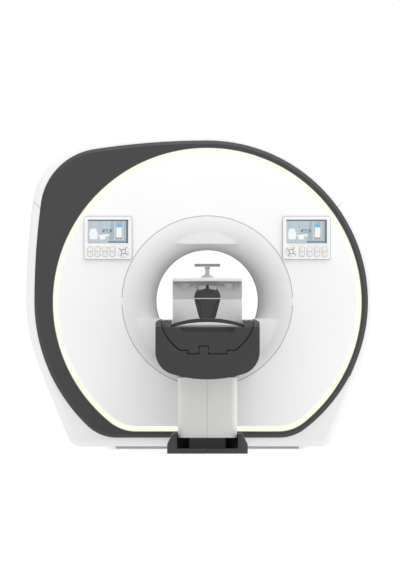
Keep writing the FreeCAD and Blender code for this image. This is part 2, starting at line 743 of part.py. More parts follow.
def bore_pieces():
    rear_end = cover_rear - s.flare_radius
    outer = s.bore_radius + s.liner_wall
    keep("bore_liner", tube("bore_liner", outer, s.bore_radius, flare_end, rear_end))

    top = s.axis_height - s.tray_bottom - s.bridge_gap
    low = top - s.bridge_plate
    front = face_front + s.dock_front
    plate = box("bridge_sheet", (-s.bridge_half_width, s.bridge_half_width),
                (front, s.bridge_end), (low, top))
    legs = []
    for name, side in (("bridge_leg_left", -1), ("bridge_leg_right", 1)):
        middle = s.bridge_leg * side
        legs.append(box(name, (middle - 10, middle + 10), (flare_end + 1, s.bridge_end),
                        (s.axis_height - s.bore_radius, low)))
    round_leg = cylinder("bridge_round", s.bore_radius - s.fit_gap, "y",
                         (0, face_front, s.axis_height), s.gantry_half_length * 2)
    keep("bore_bridge", common("bore_bridge", fuse("bridge_whole", plate, *legs), round_leg))


# ---- magnet and floor frame ------------------------------------------------------------------

def magnet():
    half = s.magnet_half_length
    vessel = tube("magnet_ring", s.magnet_radius, magnet_bore, -half, half)
    turret_low = s.axis_height + s.magnet_radius - 40
    turret_high = s.axis_height + s.turret_top
    turret = box("turret", (-s.turret_half, s.turret_half), (-s.turret_half * 1.5, s.turret_half * 1.5),
                 (turret_low, turret_high))
    keep("magnet_vessel", fuse("magnet_vessel", vessel, turret))
    keep("cold_head", cylinder("cold_head", s.cold_head_radius, "z", (0, 0, turret_high),
                               s.cold_head_height))
    coil = s.gradient_half_length
    keep("gradient_coil", tube("gradient_coil", magnet_bore - s.fit_gap, gradient_inner,
                               -coil, coil))
    body = s.body_coil_half_length
    keep("rf_body_coil", tube("rf_body_coil", gradient_inner - s.fit_gap, body_coil_inner,
                              -body, body))


def floor_frame():
    wide, far = s.frame_half_width, s.frame_half_length
    plate = box("frame_sheet", (-wide, wide), (-far, far), (0, s.floor_plate))
    reach = root(s.magnet_radius * s.magnet_radius - s.saddle_outer * s.saddle_outer)
    saddle_top = s.axis_height - reach + 2
    saddles = []
    for name, low, high in (("saddle_left", -s.saddle_outer, -s.saddle_inner),
                            ("saddle_right", s.saddle_inner, s.saddle_outer)):
        saddles.append(box(name, (low, high), (100 - far, far - 100),
                           (s.floor_plate, saddle_top)))
    seat = cylinder("saddle_seat", s.magnet_radius + s.fit_gap, "y", (0, -far, s.axis_height),
                    far * 2)
    holes = []
    for index, (side, end) in enumerate(((-1, -1), (1, -1), (-1, 1), (1, 1))):
        spot = (s.anchor_x * side, s.anchor_y * end, -1)
        holes.append(cylinder(f"anchor_hole{index}", s.anchor_radius, "z", spot, s.floor_plate + 2))
    keep("floor_frame", cut("floor_frame", fuse("frame_whole", plate, *saddles), seat, *holes))


# ---- control panels --------------------------------------------------------------------------

panel_front = face_front - s.panel_depth
well_floor = panel_front + s.key_well
key_back = well_floor - s.key_float
key_front = panel_front - s.key_proud
keys_height = s.axis_height + s.panel_z - panel_half_height + s.keys_rise


def figure_eight(name, across, radius, start, end):
    """Two overlapping round lobes, one above the other."""
    lobes = []
    for part, side in (("_up", 1), ("_down", -1)):
        spot = (across, start, keys_height + s.rocker_spread * side)
        lobes.append(cylinder(name + part, radius, "y", spot, end - start))
    return fuse(name, *lobes)


def panel(hand, side):
    """One control panel: housing, screen, four rocker keys and an arrow pad."""
    middle = s.panel_x * side
    height = s.axis_height + s.panel_z
    outline = rounded_box_outline(middle - panel_half_width, middle + panel_half_width,
                                  height - panel_half_height, height + panel_half_height,
                                  s.panel_corner)
    blank = prism(hand + "_blank", outline, panel_front, face_front)
    glass_z = height + panel_half_height - s.screen_top_border - s.screen_half_height
    spans = [(middle - s.screen_half_width, middle + s.screen_half_width),
             (panel_front, panel_front + s.screen_depth),
             (glass_z - s.screen_half_height, glass_z + s.screen_half_height)]
    recess = box(hand + "_recess", *[spans[0], (spans[1][0] - 1, spans[1][1]), spans[2]])
    gap = s.fit_gap
    glass = box(hand + "_screen", *[(low + gap, high - gap) for low, high in spans])
    keep(hand + "_screen", glass)

    wells = [recess]
    ribs = []
    for index in range(4):
        from_middle = panel_half_width - s.rocker_side - s.rocker_pitch * index
        across = (s.panel_x + from_middle) * side
        name = f"{hand}_rocker_key_{index + 1}"
        keep(name, figure_eight(name, across, s.rocker_lobe, key_front, key_back))
        wells.append(figure_eight(f"{hand}_rocker_well{index}", across,
                                  s.rocker_lobe + s.rocker_gap, panel_front - 1, well_floor))
        ribs.append(box(f"{hand}_rocker_rib{index}", (across - 6, across + 6),
                        (key_back + gap, well_floor + 1), (keys_height - 1.5, keys_height + 1.5)))

    pad_x = (s.panel_x - panel_half_width + s.pad_side) * side
    depth = well_floor - panel_front + 1
    spot = (pad_x, panel_front - 1, keys_height)
    wide = cylinder(hand + "_pad_well", s.pad_radius + s.pad_gap, "y", spot, depth)
    collar = cylinder(hand + "_pad_collar", s.pad_inner - s.pad_gap, "y", spot, depth)
    wells.append(cut(hand + "_pad_ring", wide, collar))
    wells.append(cylinder(hand + "_button_well", s.pad_button + s.pad_gap, "y", spot, depth))
    spot = (pad_x, key_front, keys_height)
    depth = key_back - key_front
    for index, arrow in enumerate(("right", "up", "left", "down")):
        name = f"{hand}_arrow_{arrow}"
        whole = cylinder(name + "_whole", s.pad_radius, "y", spot, depth)
        whole.Placement.Rotation = Rotation(Vector(0, -1, 0), 90 * index - 40) * TURNS["y"]
        bind(whole, "Angle", s.arrow_angle)
        inner = cylinder(name + "_inner", s.pad_inner, "y", spot, depth)
        keep(name, cut(name, whole, inner))
    keep(hand + "_centre_key", cylinder(hand + "_centre_key", s.pad_button, "y", spot, depth))
    housing = cut(hand + "_housing", blank, *wells)
    keep(hand + "_panel", fuse(hand + "_panel", housing, *ribs))


# ---- table body ------------------------------------------------------------------------------

foot = -s.table_foot
head = -table_head


def level(drop):
    """Height of something that is known by its drop below the bore axis."""
    return s.axis_height - drop


def hull_outline(inset):
    """Boat-shaped section of the table: upright sides, round corners, shallow round bottom."""
    half, corner = hull_half_width - inset, s.hull_corner - inset
    run = hull_half_width - s.hull_corner
    fall = s.hull_bottom - s.hull_side
    # the bottom arc touches both corner arcs, so its radius follows from run and fall
    bottom = (run * run + fall * fall - s.hull_corner * s.hull_corner) / (2 * (fall - s.hull_corner))
    low = bottom - inset
    spread = run * low / (bottom - s.hull_corner)
    centre = level(s.hull_bottom) + bottom
    touch = centre - (centre - level(s.hull_side)) * low / (bottom - s.hull_corner)
    top = level(s.shoulder_drop)
    return [
        (half, top), (-half, top), (-half, level(s.hull_side)),
        (-spread, touch, corner, 1), (spread, touch, low, 1),
        (half, level(s.hull_side), corner, 1),
    ]


def wall_half(drop):
    """Half width of the trough's wall at a drop below the axis."""
    lean = (trough_top_half - trough_mid_half) / (s.trough_mid_drop - s.shoulder_drop)
    return trough_top_half - lean * (drop - s.shoulder_drop)


def trough_outline(inset, top):
    """Section of the trough that the cradle slides in, with its keel groove and guide rail."""
    def z(drop):
        return level(drop) + inset
    curve = s.trough_curve - inset
    mid = level(s.trough_mid_drop)
    side, step, keel = trough_mid_half - inset, trough_low_half - inset, s.keel_half - inset
    rim = wall_half(s.axis_height - top) - inset
    return [
        (rim, top), (side, mid), (step, z(s.trough_low_drop), curve, -1),
        (keel, z(s.trough_low_drop)), (keel, z(s.keel_drop)), (s.rail_right + inset, z(s.keel_drop)),
        (s.rail_right + inset, z(s.rail_drop)), (-s.rail_left - inset, z(s.rail_drop)),
        (-s.rail_left - inset, z(s.keel_drop)), (-keel, z(s.keel_drop)),
        (-keel, z(s.trough_low_drop)), (-step, z(s.trough_low_drop)),
        (-side, mid, curve, -1), (-rim, top),
    ]


def front_wedge(name):
    """What is cut off the foot end's top so that the shoulders slope back from the panel."""
    top = level(s.shoulder_drop) + 20
    slope = s.front_slope / (s.panel_drop - s.shoulder_drop)
    wide = hull_half_width + 10
    low = level(s.panel_drop)
    return prism(name, [
        (foot - 10, low), (foot, low), (foot + slope * (top - low), top), (foot - 10, top),
    ], -wide, wide, role="YZ_Plane")


def table_body():
    hull = prism("hull_outside", hull_outline(0), foot, head)
    high = level(s.shoulder_drop).number
    side = hull_half_width.number
    dress(hull, "Fillet", "Radius", s.shoulder_edge,
          lambda v: abs(v.Z - high) < 0.01 and abs(abs(v.X) - side) < 0.01)
    wall = s.hull_wall
    open_top = level(s.shoulder_drop) + 20
    trough = prism("trough", trough_outline(0, open_top), foot - 1, head + 1)
    room = prism("hull_inside", hull_outline(wall), foot + wall, head - wall)
    lining = prism("trough_lining", trough_outline(-wall, open_top), foot, head)
    hollow = cut("hull_hollow", room, lining)
    cap_half = hull_half_width + 1
    lid = box("shoulder_lid", (-cap_half, cap_half), (foot, head),
              (level(s.shoulder_drop + 30), open_top))
    hollow_low = cut("hull_hollow_low", hollow, lid)
    gap = 3
    half_x, half_y = s.column_half_width + gap, s.column_half_depth + gap
    hatch = box("column_hatch", (-half_x, half_x), (-s.column_y - half_y, -s.column_y + half_y),
                (level(s.hull_bottom) - 10, level(s.keel_drop + wall)))
    keep("table_body", cut("table_body", hull, trough, hollow_low, hatch, front_wedge("body_wedge")))


# ---- cradle and what lies on it --------------------------------------------------------------

cap_back = foot + s.cap_depth


def tray_half_outline():
    """Right half of the cradle's section, from its lying surface round to its underside."""
    groove, notch = trough_top_half - s.strap_groove_in, s.strap_groove_size
    top = level(s.tray_top)
    return [
        (tray_rail_half, level(s.tray_floor)), (tray_rail_half, top),
        (groove - notch, top), (groove, top - notch), (groove + notch, top),
        (wall_half(s.tray_top) - s.tray_gap, top),
        (wall_half(s.tray_shoulder) - s.tray_gap, level(s.tray_shoulder)),
        (trough_top_half - s.tray_bevel, level(s.tray_bottom)),
    ]


def cradle():
    right = tray_half_outline()
    left = [(-corner[0], corner[1]) for corner in reversed(right)]
    keep("cradle", prism("cradle", right + left, cap_back, head - s.tray_short))

    inset = s.cap_gap
    cap = prism("cap_blank", trough_outline(inset, level(s.tray_top)), foot, cap_back)
    channel = box("cap_channel", (-tray_rail_half, tray_rail_half), (foot - 1, cap_back + 1),
                  (level(s.panel_drop), level(0)))
    grip = prism("cap_grip", [
        (-s.grip_half_low, level(s.panel_drop + s.grip_height)),
        (s.grip_half_low, level(s.panel_drop + s.grip_height)),
        (s.grip_half_top, level(s.panel_drop) + 1), (-s.grip_half_top, level(s.panel_drop) + 1),
    ], foot - 1, foot + s.grip_depth)
    keep("cradle_end_cap", cut("cradle_end_cap", cap, channel, grip, front_wedge("cap_wedge")))

    low = level(s.panel_drop)
    span, rise = tray_rail_half + s.handle_beyond, s.handle_rise
    inner, gap = tray_rail_half - s.handle_foot, s.handle_inner_rise
    outer_curve = (span * span + rise * rise) / (2 * rise)
    inner_curve = (inner * inner + gap * gap) / (2 * gap)
    cap_end = tray_rail_half - s.fit_gap
    arch_front = cap_back - s.handle_depth
    arch = prism("arch_whole", [
        (span, low), (0, low + rise, outer_curve, 1), (-span, low, outer_curve, 1),
        (-inner, low), (0, low + gap, inner_curve, -1), (inner, low, inner_curve, -1),
    ], arch_front, cap_back)
    sides = box("arch_sides", (-cap_end, cap_end), (arch_front - 1, cap_back + 1), (low, level(0)))
    keep("push_handle", common("push_handle", arch, sides))

    half = tray_rail_half - s.mattress_side_gap
    floor = level(s.tray_floor) + s.fit_gap
    keep("mattress", box("mattress", (-half, half), (cap_back + 10, -s.coil_front - 10),
                         (floor, floor + s.mattress_thickness)))


# ---- head coil and mirror --------------------------------------------------------------------

def head_outline(inset):
    """The opening for a head: a round top that narrows to a flat floor."""
    half, low = s.head_half - inset, s.head_low_half - inset
    up = s.axis_height + s.head_centre
    floor = level(s.head_floor_drop) + inset
    slope = level(s.head_low_drop) + inset
    flat = s.head_floor_half - inset / 2
    return [
        (half, up), (0, up + half, half, 1),
        (-half, up, half, 1), (-low, slope), (-flat, floor), (flat, floor), (low, slope),
    ]


def head_coil():
    front = -s.coil_front
    back = front + s.coil_length
    inside = back - s.coil_back_wall
    half = tray_rail_half - s.coil_side_gap
    floor = level(s.tray_floor) + s.fit_gap
    split = s.axis_height + s.coil_split
    block_low = box("coil_low_block", (-half, half), (front, back), (floor, split - s.fit_gap))
    block_top = box("coil_top_block", (-half, half), (front, back),
                    (split, s.axis_height + s.coil_top_height))
    opening = prism("head_opening", head_outline(0), front - 1, inside)
    keep("coil_base", cut("coil_base", block_low, opening))
    keep("coil_top", cut("coil_top", block_top, opening))
    foam = prism("foam_outside", head_outline(s.fit_gap), front + 5, inside - s.fit_gap)
    space = prism("foam_inside", head_outline(s.pad_thickness), front, back)
    low = box("foam_low", (-half, half), (front, back), (floor, split - 6))
    keep("coil_pad", common("coil_pad", cut("foam_ring", foam, space), low))


def mirror():
    along = -s.mirror_y
    top = s.axis_height + s.coil_top_height
    pivot = s.axis_height + s.mirror_pivot
    disc = doc.addObject("Part::Cone", "stem_foot")
    bind(disc, "Radius1", s.stem_foot_radius)
    bind(disc, "Radius2", s.stem_half_width + 2)
    bind(disc, "Height", s.stem_foot_height)
    bind(disc, "Placement.Base.y", along)
    bind(disc, "Placement.Base.z", top)
    half, deep = s.stem_half_width, s.stem_half_depth
    post = box("stem_post", (-half, half), (along - deep, along + deep), (top, pivot + 3))
    long = s.pivot_half_length
    pin = cylinder("stem_pin", s.pivot_radius, "x", (-long, along, pivot), long * 2)
    keep("mirror_stem", fuse("mirror_stem", disc, post, pin))

    low = pivot + s.mirror_lift
    wide, reach = s.mirror_half_width, s.mirror_half_depth
    plate = box("mirror_plate", (-wide, wide), (along - reach, along + reach),
                (low, low + s.mirror_thickness))
    ears = []
    for name, near, far in (("ear_left", -s.ear_outer, -s.ear_inner),
                            ("ear_right", s.ear_inner, s.ear_outer)):
        ears.append(box(name, (near, far), (along - 9, along + 9), (pivot - 9, low + 1)))
    bore = cylinder("ear_bore", s.pivot_radius + s.pivot_clearance, "x", (-long - 1, along, pivot),
                    long * 2 + 2)
    keep("mirror", cut("mirror", fuse("mirror_whole", plate, *ears), bore))


# ---- lift column and base --------------------------------------------------------------------

def square_tube(name, outer, inner, low, high):
    """A square tube about the lift's axis."""
    along = -s.column_y
    whole = box(name + "_outer", (-outer, outer), (along - outer, along + outer), (low, high))
    hole = box(name + "_inner", (-inner, inner), (along - inner, along + inner),
               (low - 1, high + 1))
    return cut(name, whole, hole)


def lift():
    along = -s.column_y
    gap = s.fit_gap
    flange_top = stage_middle_top
    keep("lift_outer_stage", square_tube("lift_outer_stage", s.stage_outer, s.stage_middle + gap,
                                         s.floor_plate, s.stage_outer_top))
    middle = square_tube("middle_tube", s.stage_middle, s.stage_inner + gap,
                         s.stage_middle_bottom, flange_top)
    wide = s.column_half_width - s.column_wall - gap
    deep = s.column_half_depth - s.column_wall - gap
    corner = s.column_corner - s.column_wall
    plate = prism("middle_flange", rounded_box_outline(-wide, wide, along - deep, along + deep, corner),
                  flange_top - s.column_flange, flange_top, role="XY_Plane")
    hole = box("middle_flange_hole", (-s.stage_middle, s.stage_middle),
               (along - s.stage_middle, along + s.stage_middle),
               (flange_top - s.column_flange - 1, flange_top + 1))
    keep("lift_middle_stage", fuse("lift_middle_stage", middle, cut("flange_ring", plate, hole)))

    under_trough = level(s.keel_drop + s.hull_wall)
    flange_low = under_trough - s.stage_flange
    inner = square_tube("inner_tube", s.stage_inner, s.stage_bore, s.stage_inner_bottom, flange_low)
    half = s.column_half_width - 15
    top_plate = box("inner_flange", (-half, half), (along - half * 2, along + half * 2),
                    (flange_low, under_trough - gap))
    keep("lift_inner_stage", fuse("lift_inner_stage", inner, top_plate))
    keep("lift_spindle", cylinder("lift_spindle", s.spindle_radius, "z", (0, along, s.floor_plate),
                                  s.spindle_top - s.floor_plate))


def column_cover():
    along = -s.column_y
    wide, deep, corner, wall = (s.column_half_width, s.column_half_depth, s.column_corner,
                                s.column_wall)
    outer = prism("column_outside", rounded_box_outline(-wide, wide, along - deep, along + deep, corner),
                  s.column_bottom, column_top, role="XY_Plane")
    inner = prism("column_inside", rounded_box_outline(wall - wide, wide - wall, along - deep + wall,
                                                       along + deep - wall, corner - wall),
                  s.column_bottom - 1, column_top + 1, role="XY_Plane")
    sleeve = cut("column_sleeve", outer, inner)
    seam = s.column_seam / 2
    for name, low, high in (("column_cover_left", -wide - 1, -seam),
                            ("column_cover_right", seam, wide + 1)):
        side = box(name + "_side", (low, high), (along - deep - 1, along + deep + 1),
                   (0, column_top + 1))
        keep(name, common(name, sleeve, side))


def base():
    front, rear = -s.base_front, -s.base_rear
    plate_half = s.base_plate_half
    keep("base_plate", box("base_plate", (-plate_half, plate_half),
                           (-s.base_plate_front, -s.frame_half_length - s.fit_gap), (0, s.floor_plate)))
    half, flat, top = base_half_width, base_well_half + s.base_top_width, s.base_height
    outline = [
        (half, 0), (half, s.base_side), (flat, top), (-flat, top),
        (-half, s.base_side), (-half, 0),
    ]
    block = prism("base_blank", outline, front, rear)
    well_half = base_well_half
    well = box("base_well", (-well_half, well_half), (front + s.base_lip_depth, rear - s.base_lip_depth),
               (-1, top + 1))
    mouth = box("base_mouth", (-well_half, well_half), (front - 1, front + s.base_lip_depth + 1),
                (s.base_lip, top + 1))
    gap = s.fit_gap
    slot = box("base_slot", (-plate_half - gap, plate_half + gap), (-s.base_plate_front - gap, rear + 1),
               (-1, s.floor_plate + gap))
    body = cut("base_whole", block, well, mouth, slot)
    seam = s.base_seam / 2
    for name, low, high in (("base_left", -half - 1, -seam), ("base_right", seam, half + 1)):
        side = box(name + "_side", (low, high), (front - 1, rear + 1), (-1, top + 1))
        keep(name, common(name, body, side))


# ---- build, check and write ------------------------------------------------------------------

covers()
front_plates()
cover_frame("front_cover_frame", plates_back, plates_back + s.frame_plate,
            plates_back + s.frame_plate, -s.magnet_half_length)
rear_plates()
cover_frame("rear_cover_frame", -plates_back - s.frame_plate, -plates_back,
            s.magnet_half_length, -plates_back - s.frame_plate)
flares()
bore_pieces()
magnet()
floor_frame()
panel("left", -1)
panel("right", 1)
table_body()
cradle()
head_coil()
mirror()
lift()
column_cover()
base()
doc.recompute()

for item in doc.Objects:
    if "Invalid" in item.State or "Error" in item.State:
        raise RuntimeError(f"{item.Name} failed: {item.State}")

os.makedirs("parts", exist_ok=True)
for name, item in nodes.items():
    shape = item.Shape
    if shape.isNull() or not shape.isValid() or not shape.Solids:
        raise RuntimeError(f"{name} has no valid solid")
    shape.exportStep(os.path.join("parts", name + ".step"))
    size = shape.BoundBox
    print(f"{name:22s} {len(shape.Solids)} solid  {size.XLength:7.1f} x {size.YLength:7.1f} x "
          f"{size.ZLength:7.1f}  volume {shape.Volume / 1e9:.4f} m3")
print(len(nodes), "nodes")
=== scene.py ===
# %% [markdown]
# # A closed-bore MRI scanner
# The machine is a round gantry with a patient table in front of it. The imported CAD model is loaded
# first and stays as it is: it says where every piece lies. What follows gives each surface its
# finish, and models again, in finer detail, the pieces that are looked at from close by.
# %% Load the machine
import json
import math

import bmesh
import bpy
from mathutils import Matrix, Vector

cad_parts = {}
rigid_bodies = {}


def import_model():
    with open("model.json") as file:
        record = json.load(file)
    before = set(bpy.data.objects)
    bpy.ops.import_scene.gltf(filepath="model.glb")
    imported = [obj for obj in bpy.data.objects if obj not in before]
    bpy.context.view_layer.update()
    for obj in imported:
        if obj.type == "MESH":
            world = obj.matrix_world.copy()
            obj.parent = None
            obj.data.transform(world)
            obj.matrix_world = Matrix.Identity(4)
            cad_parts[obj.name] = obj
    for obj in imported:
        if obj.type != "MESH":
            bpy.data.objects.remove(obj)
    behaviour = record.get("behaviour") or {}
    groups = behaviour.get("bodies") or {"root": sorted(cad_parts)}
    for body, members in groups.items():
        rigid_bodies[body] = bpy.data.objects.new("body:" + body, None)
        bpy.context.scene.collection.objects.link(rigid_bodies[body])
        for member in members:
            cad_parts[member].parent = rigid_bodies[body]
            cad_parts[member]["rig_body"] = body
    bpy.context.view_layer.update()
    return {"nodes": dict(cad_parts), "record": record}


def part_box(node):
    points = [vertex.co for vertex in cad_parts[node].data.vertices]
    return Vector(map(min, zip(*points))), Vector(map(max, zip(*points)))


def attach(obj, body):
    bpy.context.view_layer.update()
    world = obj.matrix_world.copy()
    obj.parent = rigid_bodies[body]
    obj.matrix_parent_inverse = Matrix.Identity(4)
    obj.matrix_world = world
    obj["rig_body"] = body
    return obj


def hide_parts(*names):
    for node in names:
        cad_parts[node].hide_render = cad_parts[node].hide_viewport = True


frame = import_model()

scene = bpy.context.scene
nodes = frame["nodes"]

# %% [markdown]
# ## Landmarks
# Later steps need a few places: the bore's axis, the front plane, the foot end of the table. They
# are read from the boxes of the CAD pieces, so nothing here repeats a size that the model already
# has.
# %% Landmarks
MM = 0.001
WELD = 0.02 * MM   # corners nearer than this are one corner
LEVEL = 0.1 * MM   # and within this they lie in one plane


def middle(node):
    """Centre of a CAD piece's box."""
    low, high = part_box(node)
    return (low + high) / 2


axis = middle("bore_liner").z
mouth_low, mouth_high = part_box("front_flare")
face_y = mouth_low.y
mouth_radius = (mouth_high.x - mouth_low.x) / 2
print("axis height", round(axis, 4), "front plane", round(face_y, 4), "mouth", round(mouth_radius, 4))

# %% [markdown]
# ## Camera
# The machine is shown straight from the front with almost no perspective, so the camera stands far
# away behind a very long lens. It stands a little left of the bore and above its axis, which puts
# the machine a little right of and below the middle of the picture.
# %% Camera
CAMERA_DISTANCE = 60.0
LEFT_OF_BORE, ABOVE_AXIS = 0.049, 0.0755
camera_data = bpy.data.cameras.new("front_camera")
camera_data.sensor_width = 36.0
camera_data.lens = 552.0
camera_data.clip_end = 400.0
camera = bpy.data.objects.new("front_camera", camera_data)
camera.location = (-LEFT_OF_BORE, face_y - CAMERA_DISTANCE, axis + ABOVE_AXIS)
camera.rotation_euler = (math.radians(90), 0, 0)
scene.collection.objects.link(camera)
scene.camera = camera
print("camera at", [round(v, 3) for v in camera.location])

# %% [markdown]
# ## Making a finish
# Every finish is a small node tree. Two helpers are enough: one turns the colour code that a paint
# card gives into the linear colour that the renderer counts with, and one adds a node with its
# settings and its links.
# %% Colour and node helpers


def paint(code):
    """Linear colour of an sRGB hex code."""
    parts = [int(code[i:i + 2], 16) / 255 for i in (1, 3, 5)]
    return [p / 12.92 if p <= 0.04045 else ((p + 0.055) / 1.055) ** 2.4 for p in parts] + [1.0]


def add(tree, kind, inputs=None, **settings):
    """Add a node: settings are its own properties, inputs are values or the sockets to link."""
    made = tree.nodes.new(kind)
    for name, value in settings.items():
        setattr(made, name, value)
    for name, value in (inputs or {}).items():
        if isinstance(value, bpy.types.NodeSocket):
            tree.links.new(value, made.inputs[name])
        else:
            made.inputs[name].default_value = value
    return made


print("paint check", [round(v, 3) for v in paint("#808080")[:3]])

# %% [markdown]
# ## Light
# A hospital machine in a catalogue is lit by a white room: light comes from everywhere, more of it
# from above and less from the left, which is what gives the covers their shape. A white world that
# brightens upwards and dims to the left does that. It dims towards the front too, where large area
# lamps take over. The lamps are hidden from the camera, so they never show as bright squares.
# %% World and lamps
world = bpy.data.worlds.new("white_room")
world.use_nodes = True
sky = world.node_tree.nodes["Background"]
sky.inputs["Color"].default_value = (1, 1, 1, 1)
ray = add(world.node_tree, "ShaderNodeTexCoord")
ways = add(world.node_tree, "ShaderNodeSeparateXYZ", {"Vector": ray.outputs["Generated"]})
leftward = add(world.node_tree, "ShaderNodeMapRange", {"Value": ways.outputs["X"], "From Min": -1.0,
                                                       "From Max": -0.1, "To Min": 0.45, "To Max": 1.02})
upward = add(world.node_tree, "ShaderNodeMapRange", {"Value": ways.outputs["Z"], "From Min": 0.1,
                                                     "From Max": 1.0, "To Min": 1.0, "To Max": 1.9})
frontal = add(world.node_tree, "ShaderNodeMapRange", {"Value": ways.outputs["Y"], "From Min": -1.0,
                                                      "From Max": 0.0, "To Min": 0.62, "To Max": 1.0})
level = add(world.node_tree, "ShaderNodeMath", {0: leftward.outputs["Result"],
                                                1: upward.outputs["Result"]}, operation="MULTIPLY")
level = add(world.node_tree, "ShaderNodeMath", {0: level.outputs["Value"],
                                                1: frontal.outputs["Result"]}, operation="MULTIPLY")
world.node_tree.links.new(level.outputs["Value"], sky.inputs["Strength"])
scene.world = world
scene.view_settings.view_transform = "Standard"


def softbox(name, place, aim, width, watts):
    """A large square lamp at a place, turned to shine at a point."""
    lamp = bpy.data.lights.new(name, "AREA")
    lamp.size = width
    lamp.energy = watts
    stand = bpy.data.objects.new(name, lamp)
    stand.location = place
    stand.rotation_euler = (Vector(aim) - Vector(place)).to_track_quat("-Z", "Y").to_euler()
    stand.visible_camera = False
    scene.collection.objects.link(stand)
    return stand


softbox("key_lamp", (2.5, -9, 8), (0, -1, 1.6), 5, 110)
softbox("fill_lamp", (-5, -10, 4), (0, -1, 1), 4, 20)
softbox("back_lamp", (2, 9, 7), (0, 1, 1.2), 5, 12)

# %% [markdown]
# ## Plastics and paints
# Most of the machine is painted or moulded. What tells one such surface from another is its shade,
# how wide a highlight it gives, and its grain: sprayed covers have a faint orange peel, mould-tool
# texture is finer and sharper, and no large moulding is quite the same shade all over. One recipe
# holds these, with every size in millimetres on the real surface.
# %% Recipe for a moulded or sprayed surface


def moulded(name, shades, blotch, grain, relief, roughness, **more):
    """Two close shades in blotches, under a grain of that size and depth in millimetres."""
    finish = bpy.data.materials.new(name)
    finish.use_nodes = True
    tree = finish.node_tree
    shader = tree.nodes["Principled BSDF"]
    shader.inputs["Roughness"].default_value = roughness
    for socket, value in more.items():
        shader.inputs[socket.replace("_", " ")].default_value = value
    place = add(tree, "ShaderNodeTexCoord")
    cloud = add(tree, "ShaderNodeTexNoise", {"Vector": place.outputs["Object"],
                                             "Scale": 1 / (blotch * MM), "Detail": 2.0})
    shade = add(tree, "ShaderNodeMix", {"Factor": cloud.outputs["Fac"], "A": paint(shades[0]),
                                        "B": paint(shades[1])}, data_type="RGBA")
    texture = add(tree, "ShaderNodeTexNoise", {"Vector": place.outputs["Object"],
                                               "Scale": 1 / (grain * MM), "Detail": 3.0})
    bump = add(tree, "ShaderNodeBump", {"Height": texture.outputs["Fac"], "Strength": 1.0,
                                        "Distance": relief * MM})
    tree.links.new(shade.outputs["Result"], shader.inputs["Base Color"])
    tree.links.new(bump.outputs["Normal"], shader.inputs["Normal"])
    return finish


finishes = {
    # gel-coated glass fibre, sprayed white: satin, with a faint orange peel
    "cover_white": moulded("sprayed_cover", ("#F0F0F0", "#EDEDED"), 260, 9, 0.03, 0.38),
    # the same paint rubbed down flatter on the big front face
    "face_white": moulded("satin_face", ("#F8F8F8", "#F6F6F6"), 240, 8, 0.03, 0.42),
    # moulded liner of the bore: plain white, a little greyer and matt, so lamps do not dazzle
    "bore_white": moulded("bore_liner_skin", ("#F2F2F2", "#EEEEEE"), 150, 6, 0.03, 0.5),
    # graphite two-pack paint on the bezel, with a fine metallic fleck
    "graphite_paint": moulded("graphite_paint", ("#3C3C3C", "#383838"), 3, 1.2, 0.02, 0.42,
                               Specular_IOR_Level=0.4),
    # tool-grained polyurethane skin of the table, dull and dark
    "table_graphite": moulded("grained_table_skin", ("#343434", "#303030"), 60, 2.5, 0.10, 0.55,
                               Specular_IOR_Level=0.35),
    # powder-coated steel of the base
    "base_graphite": moulded("powder_coat_graphite", ("#3D3D3D", "#363636"), 12, 3.5, 0.12, 0.5),
    # moulded cover of the lift column, light warm grey
    "column_grey": moulded("warm_grey_moulding", ("#E8E8E4", "#E4E4E0"), 120, 3, 0.05, 0.5),
    # pale polycarbonate of the control panels
    "panel_white": moulded("panel_moulding", ("#F5F5F5", "#F2F2F2"), 90, 2, 0.02, 0.35),
    # silicone keys, matt and slightly warm
    "key_silicone": moulded("key_silicone", ("#F0F0EE", "#EDEDEB"), 30, 1.0, 0.02, 0.6),
    # pressed fibre laminate of the cradle
    "cradle_laminate": moulded("cradle_laminate", ("#484848", "#424242"), 14, 2, 0.06, 0.45),
    # phenolic sheet of the bridge in the bore
    "bridge_grey": moulded("bridge_sheet", ("#C4C4C2", "#BEBEBC"), 80, 4, 0.04, 0.5),
    # cast rubber of the push handle
    "handle_rubber": moulded("handle_rubber", ("#303030", "#2C2C2C"), 20, 1.5, 0.05, 0.6,
                              Specular_IOR_Level=0.35),
    # polyurethane shell of the head coil
    "coil_white": moulded("coil_shell", ("#D5D5D5", "#CFCFCF"), 60, 2.5, 0.05, 0.45),
    # wipe-clean vinyl of the mattress, pale grey, with the fine crease of a coated cloth
    "mattress_vinyl": moulded("mattress_vinyl", ("#B8B8B5", "#B0B0AD"), 70, 3, 0.15, 0.55),
    # knitted fabric over foam in the coil
    "foam_dark": moulded("foam_cover", ("#464646", "#3B3B3B"), 3, 2.2, 0.5, 0.9),
    # grey nylon of the mirror's stem and tray
    "stem_grey": moulded("nylon_grey", ("#C0C0C0", "#B8B8B8"), 20, 1.5, 0.03, 0.5),
    # enamel on the steel of frames and magnet, seen only where covers are parted
    "painted_steel": moulded("frame_enamel", ("#B4B6B8", "#ABADAF"), 90, 5, 0.05, 0.45),
    "magnet_paint": moulded("vessel_enamel", ("#D8D9D6", "#D0D1CE"), 200, 6, 0.05, 0.4),
    # cast epoxy round the gradient and radio coils
    "coil_resin": moulded("cast_resin", ("#9A8E6E", "#8C8160"), 40, 4, 0.08, 0.4),
}
print("moulded finishes", len(finishes))

# %% [markdown]
# ## Metal, light and glass
# Three surfaces need more than a shade: the lift's ground steel, which is a bare metal, the opal
# strip that glows round the face, and the mirror, which is silvered acrylic.
# %% Ground steel, opal strip and mirror
steel = moulded("ground_steel", ("#A9ABAD", "#9FA1A3"), 30, 0.8, 0.02, 0.32, Metallic=1.0)
finishes["bare_steel"] = steel

